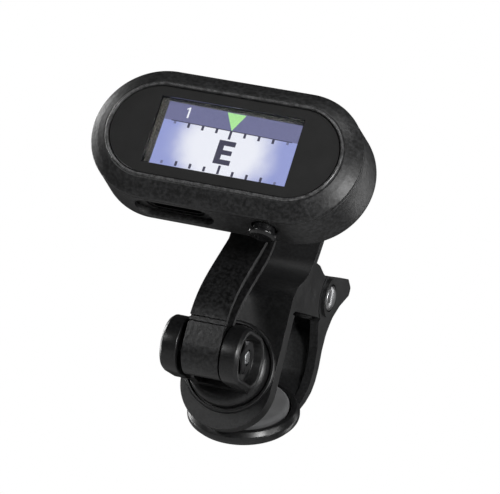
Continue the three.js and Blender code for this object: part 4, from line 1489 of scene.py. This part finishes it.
def rear_clip():
    """Rear jaw: lever, web and flanges, a boss round each rivet head and the dished foot.

    The web is a ribbon along Bezier curves from the lever's end down to the foot, cut back where the
    pad lies, as the flanges are.
    """
    path = along(
        [(24.6, 22.0), (20.4, 18.3)],
        bezier([(20.4, 18.3), (16.9, 15.2), (16.8, 12.0)]),
        bezier([(16.8, 12.0), (17.3, 7.4)], 6),
        bezier([(17.3, 7.4), (17.6, 4.4), (14.6, 1.6)]),
        [(13.2, 0.6)])
    web = prism(ribbon(path, STRAP), -WEB_HALF, WEB_HALF, ACROSS_X)

    def pad_room():
        """The space above the foot that the round pad fills."""
        edge = PAD_RADIUS + 0.34
        return swept_round([(edge, 0.12), (edge, 4.5)], across=ACROSS_Z, seat=FOOT)

    combine(web, pad_room(), "DIFFERENCE")
    blade_outline = rounded([
        (11.1, 21.6, 0), (22.6, 23.7, 0.2), (24.9, 22.7, 0.6), (24.8, 21.4, 0.6), (21.3, 18.9, 4.0),
        (18.9, 16.4, 4.0), (17.6, 13.5, 4.0), (17.5, 10.6, 6.0), (18.0, 7.9, 5.0), (17.9, 5.6, 4.0),
        (17.1, 3.6, 3.0), (15.4, 1.7, 3.0), (13.2, 0.0, 0),
        (10.6, -0.6, 0), (13.4, 1.6, 2.0), (15.2, 4.0, 4.0),
        (15.7, 7.0, 5.0), (14.8, 10.6, 4.0), (12.2, 14.3, 0.3), (12.6, 14.8, 0)])

    def flange(side):
        """A blade and its round ear about the rivet, trimmed straight above the lever."""
        blade = side_prism(blade_outline, side, JAW_HALF - FLANGE, JAW_HALF)
        ear = side_prism(circle(PIVOT[1], PIVOT[2], EAR_RADIUS), side, JAW_HALF - FLANGE, JAW_HALF)
        above = side_prism(np.array([(8, 21.0), (26, 24.4), (26, 30), (8, 30)]), side, 5, 8)
        combine(blade, ear, "UNION")
        combine(blade, above, "DIFFERENCE")
        return blade

    sides = both_sides(flange)
    combine(sides[0], sides[1], "UNION")
    combine(sides[0], pad_room(), "DIFFERENCE")
    dish = swept_round(
        rounded([
            (0.5, -1.5, 0), (FOOT_RADIUS - 1.0, -1.5, 0.9), (FOOT_RADIUS, -0.5, 0.8), (FOOT_RADIUS, 0.4, 0.5),
            (FOOT_RADIUS - 0.55, 1.2, 0.25), (PAD_RADIUS + 0.36, 1.2, 0.15), (PAD_RADIUS + 0.36, 0.1, 0),
            (0.5, 0.1, 0)], closed=False, steps=7),
        across=ACROSS_Z, seat=FOOT, steps=128)

    def boss(side):
        """A raised ring's disc about one end of the rivet."""
        low, high = sorted((side * (JAW_HALF - 0.4), side * (JAW_HALF + 0.55)))
        return prism(circle(PIVOT[1], PIVOT[2], PIN_HEAD + 1.05), low, high, ACROSS_X)

    def head_room(side):
        """The hole in the boss that one rivet head sits in."""
        low, high = sorted((side * JAW_HALF, side * 9))
        return prism(circle(PIVOT[1], PIVOT[2], PIN_HEAD + 0.2), low, high, ACROSS_X)

    tools = [pin_bore(), *both_sides(head_room)]
    piece = moulded("rear_clip", [web, sides[0], dish, *both_sides(boss)], tools, edge=0.16)
    return finish_piece(piece, "rear_jaw", PLASTIC, "black_plastic", "rear_jaw")


def rivet():
    """Pivot rivet: a plain shank with a polished dome at each end."""
    reach = JAW_HALF + 0.1
    dome = rounded([
        (PIN_RADIUS, reach, 0), (PIN_HEAD, reach, 0), (PIN_HEAD, reach + 0.45, 0.2),
        (PIN_HEAD * 0.62, reach + 0.88, 1.6), (0.05, reach + 0.98, 0)], closed=False, steps=8)
    mirrored = dome[::-1] * [1, -1]
    section = np.concatenate([mirrored, dome])
    piece = swept_round(section, across=ACROSS_X, centre=(PIVOT[1], PIVOT[2]), steps=64)
    piece.name = "rivet"
    smooth(piece, 50)
    return finish_piece(piece, "front_jaw", RIVET_STEEL, "steel", "pivot_pin")


def rear_pad():
    """Round rubber pad: its face crowned, its edge rounded over."""
    r = PAD_RADIUS
    section = rounded([
        (0.3, 0.4, 0), (r - 0.1, 0.4, 0.1), (r, PAD_TOP - 0.7, 0.3), (r - 0.35, PAD_TOP - 0.16, 0.6),
        (r * 0.5, PAD_TOP - 0.02, 8.0), (0.3, PAD_TOP, 0)], closed=False, steps=8)
    piece = swept_round(section, across=ACROSS_Z, seat=FOOT, steps=96)
    piece.name = "round_pad"
    smooth(piece, 60)
    finish_piece(piece, "rear_jaw", GREY_RUBBER, "grey_rubber", "rear_pad")


def front_pad():
    """Front rubber pad: a slab with a half round foot, its edge rounded over."""
    slab = prism(tray_outline(1.5, TRAY_TOP - 1.5), -1.95, 0, ACROSS_Y)
    screw_room = swept_round([(2.6, -2.5), (2.6, -0.6)], centre=(0, SWIVEL[2]), steps=48)
    piece = moulded("half_round_pad", [slab], [screw_room], edge=0.3, segments=4)
    finish_piece(piece, "front_jaw", BLACK_RUBBER, "black_rubber", "front_pad")


def torsion_spring():
    """Coil round the rivet with a leg on the front jaw, and the other leg on the rear jaw's lever.

    Along the wire the angle grows by the length travelled over the radius and X by a pitch each turn;
    after the coil's length the wire runs on straight, along the tangent at the angle it has reached.
    """
    wire = 0.42
    radius = 2.1
    pitch = 1.15
    turns = 4.2
    start_angle = math.radians(-60)
    coil_start = -2.6
    coil_length = turns * 2 * math.pi * radius
    travelled = np.concatenate([np.linspace(0, coil_length, 240), coil_length + np.linspace(0.3, 7.2, 16)])
    angle = start_angle + np.minimum(travelled, coil_length) / radius
    beyond = np.maximum(travelled - coil_length, 0)
    x = coil_start + pitch * (angle - start_angle) / (2 * math.pi)
    y = PIVOT[1] + radius * np.cos(angle) - beyond * np.sin(angle)
    z = PIVOT[2] + radius * np.sin(angle) + beyond * np.cos(angle)
    coil = tube("spring_coil", np.stack([x, y, z], axis=1), wire)
    smooth(coil, 60)
    finish_piece(coil, "front_jaw", WIRE, "spring_steel", "torsion_spring")
    low, high = corners("torsion_spring_tail")
    lift = wire * 1.1
    run = np.linspace(0, 1, 12)[:, None]
    lower_end = np.array([[coil_start, low[1] + 0.2, low[2] + lift]])
    upper_end = np.array([[coil_start, high[1] - 0.2, high[2] - lift]])
    path = lower_end * (1 - run) + upper_end * run
    tail = tube("spring_tail", path, wire)
    smooth(tail, 60)
    finish_piece(tail, "rear_jaw", WIRE, "spring_steel", "torsion_spring_tail")


# ------------------------------------------------------------------ pieces kept from the frame


def fasteners_and_insides():
    """Screws, nuts and the socket get rounded edges; sealed pieces keep their shape and get a material."""
    for node, body, material, slot, edge in (
        ("arm_hinge_screw", "turntable", STEEL, "steel", 0.08),
        ("arm_hinge_nut", "turntable", DARK_STEEL, "steel", 0.1),
        ("head_hinge_screw", "head", DARK_STEEL, "steel", 0.08),
        # The socket's near-black steel is painted shade.
        ("head_hinge_nut", "head", DARK_STEEL, "steel", 0.1),
        ("charging_socket", "head", SOCKET_PAINTED_SHADE, "steel", 0.06),
        ("case_screw_1", "head", DARK_STEEL, "steel", 0.05),
        ("case_screw_2", "head", DARK_STEEL, "steel", 0.05),
        ("case_screw_3", "head", DARK_STEEL, "steel", 0.05),
        ("case_screw_4", "head", DARK_STEEL, "steel", 0.05),
    ):
        finish_piece(refined(node, edge), body, material, slot, node)
    for node, material in (
        ("turntable_screw", STEEL), ("turntable_washer", WIRE), ("display_mask", MASK_PRINT),
        ("lcd_panel", MASK_PRINT), ("lcd_backlight", DIFFUSER), ("battery", FOIL), ("tactile_switch", FOIL),
        ("circuit_board", BOARD), ("vibration_sensor", BRASS),
    ):
        kept = frame["nodes"][node]
        kept.data.materials.clear()
        kept.data.materials.append(material)


bezel()
window()
readout()
housing()
button()
arm()
fork()
front_clip()
rear_clip()
rivet()
rear_pad()
front_pad()
torsion_spring()
fasteners_and_insides()

# ------------------------------------------------------------------ floor, light and view


def pale_floor():
    """A wide plain floor well below the tuner, which is held up by its clip."""
    size = 3.0
    height = cad_low[2] - 0.25
    mesh = bpy.data.meshes.new("floor")
    mesh.from_pydata(
        [(-size, -size, height), (size, -size, height), (size, size, height), (-size, size, height)], [],
        [(0, 1, 2, 3)])
    floor = bpy.data.objects.new("floor", mesh)
    bpy.context.scene.collection.objects.link(floor)
    material, tree = empty_material("pale_floor")
    seen = tree.nodes.new("ShaderNodeLightPath")
    seen.label = "seen directly or reflected"
    seen.location = (-500, 200)
    matt = tree.nodes.new("ShaderNodeBsdfDiffuse")
    matt.label = "matt card"
    matt.location = (-500, -120)
    matt.inputs["Color"].default_value = (0.6, 0.6, 0.6, 1)
    bright = tree.nodes.new("ShaderNodeEmission")
    bright.label = "pale where seen directly"
    bright.location = (-500, -320)
    bright.inputs["Color"].default_value = (1, 1, 1, 1)
    bright.inputs["Strength"].default_value = 0.9
    both = tree.nodes.new("ShaderNodeMixShader")
    both.label = "pale floor"
    both.location = (-200, 0)
    out = tree.nodes.new("ShaderNodeOutputMaterial")
    out.label = "finished surface"
    out.location = (60, 0)
    tree.links.new(seen.outputs["Is Camera Ray"], both.inputs["Fac"])
    tree.links.new(matt.outputs["BSDF"], both.inputs[1])
    tree.links.new(bright.outputs["Emission"], both.inputs[2])
    tree.links.new(both.outputs["Shader"], out.inputs["Surface"])
    floor.data.materials.append(material)


def softbox(name, place, target, size, watts, height=None):
    """A rectangular soft light at a place in millimetres, facing a target."""
    data = bpy.data.lights.new(name, "AREA")
    data.shape = "RECTANGLE"
    data.size = size
    data.size_y = height or size
    data.energy = watts
    light = bpy.data.objects.new(name, data)
    bpy.context.scene.collection.objects.link(light)
    aim = np.array(target, float) - np.array(place, float)
    aim /= np.linalg.norm(aim)
    sideways = np.cross(aim, [0.0, 0.0, 1.0])
    sideways /= np.linalg.norm(sideways)
    upward = np.cross(sideways, aim)
    direction = Matrix(np.stack([sideways, upward, -aim], axis=1).tolist())
    light.matrix_world = Matrix.Translation(np.array(place, float) * MM) @ direction.to_4x4()


def studio():
    """A white surround for the camera, dim for reflections, six soft lights and the plain view transform."""
    world = bpy.data.worlds.new("studio")
    bpy.context.scene.world = world
    world.use_nodes = True
    tree = world.node_tree
    tree.nodes.clear()
    seen = tree.nodes.new("ShaderNodeLightPath")
    seen.label = "seen directly or reflected"
    backdrop = tree.nodes.new("ShaderNodeBackground")
    backdrop.label = "white backdrop"
    backdrop.inputs["Color"].default_value = (1, 1, 1, 1)
    backdrop.inputs["Strength"].default_value = 1.0
    room = tree.nodes.new("ShaderNodeBackground")
    room.label = "dim room"
    room.inputs["Color"].default_value = (1, 1, 1, 1)
    room.inputs["Strength"].default_value = 0.03
    both = tree.nodes.new("ShaderNodeMixShader")
    both.label = "backdrop where seen directly"
    out = tree.nodes.new("ShaderNodeOutputWorld")
    out.label = "surround"
    tree.links.new(seen.outputs["Is Camera Ray"], both.inputs["Fac"])
    tree.links.new(room.outputs["Background"], both.inputs[1])
    tree.links.new(backdrop.outputs["Background"], both.inputs[2])
    tree.links.new(both.outputs["Shader"], out.inputs["Surface"])

    middle = (0, -10, 20)
    softbox("right_front", (305, -295, 50), middle, 0.06, 1.1)
    softbox("right_edge", (440, -150, 60), middle, 0.05, 0.6, 0.4)
    softbox("left_front", (-250, -380, 80), middle, 0.1, 0.36)
    softbox("top", (40, -190, 400), middle, 0.26, 0.4, 0.08)
    softbox("right_rear", (300, 320, 80), middle, 0.06, 0.35, 0.4)
    softbox("left_side", (-430, 130, 80), middle, 0.08, 1.5, 0.4)
    scene = bpy.context.scene
    scene.view_settings.view_transform = "Standard"
    scene.view_settings.look = "None"
    scene.view_settings.exposure = 0.0
    scene.view_settings.gamma = 1.0


pale_floor()
studio()
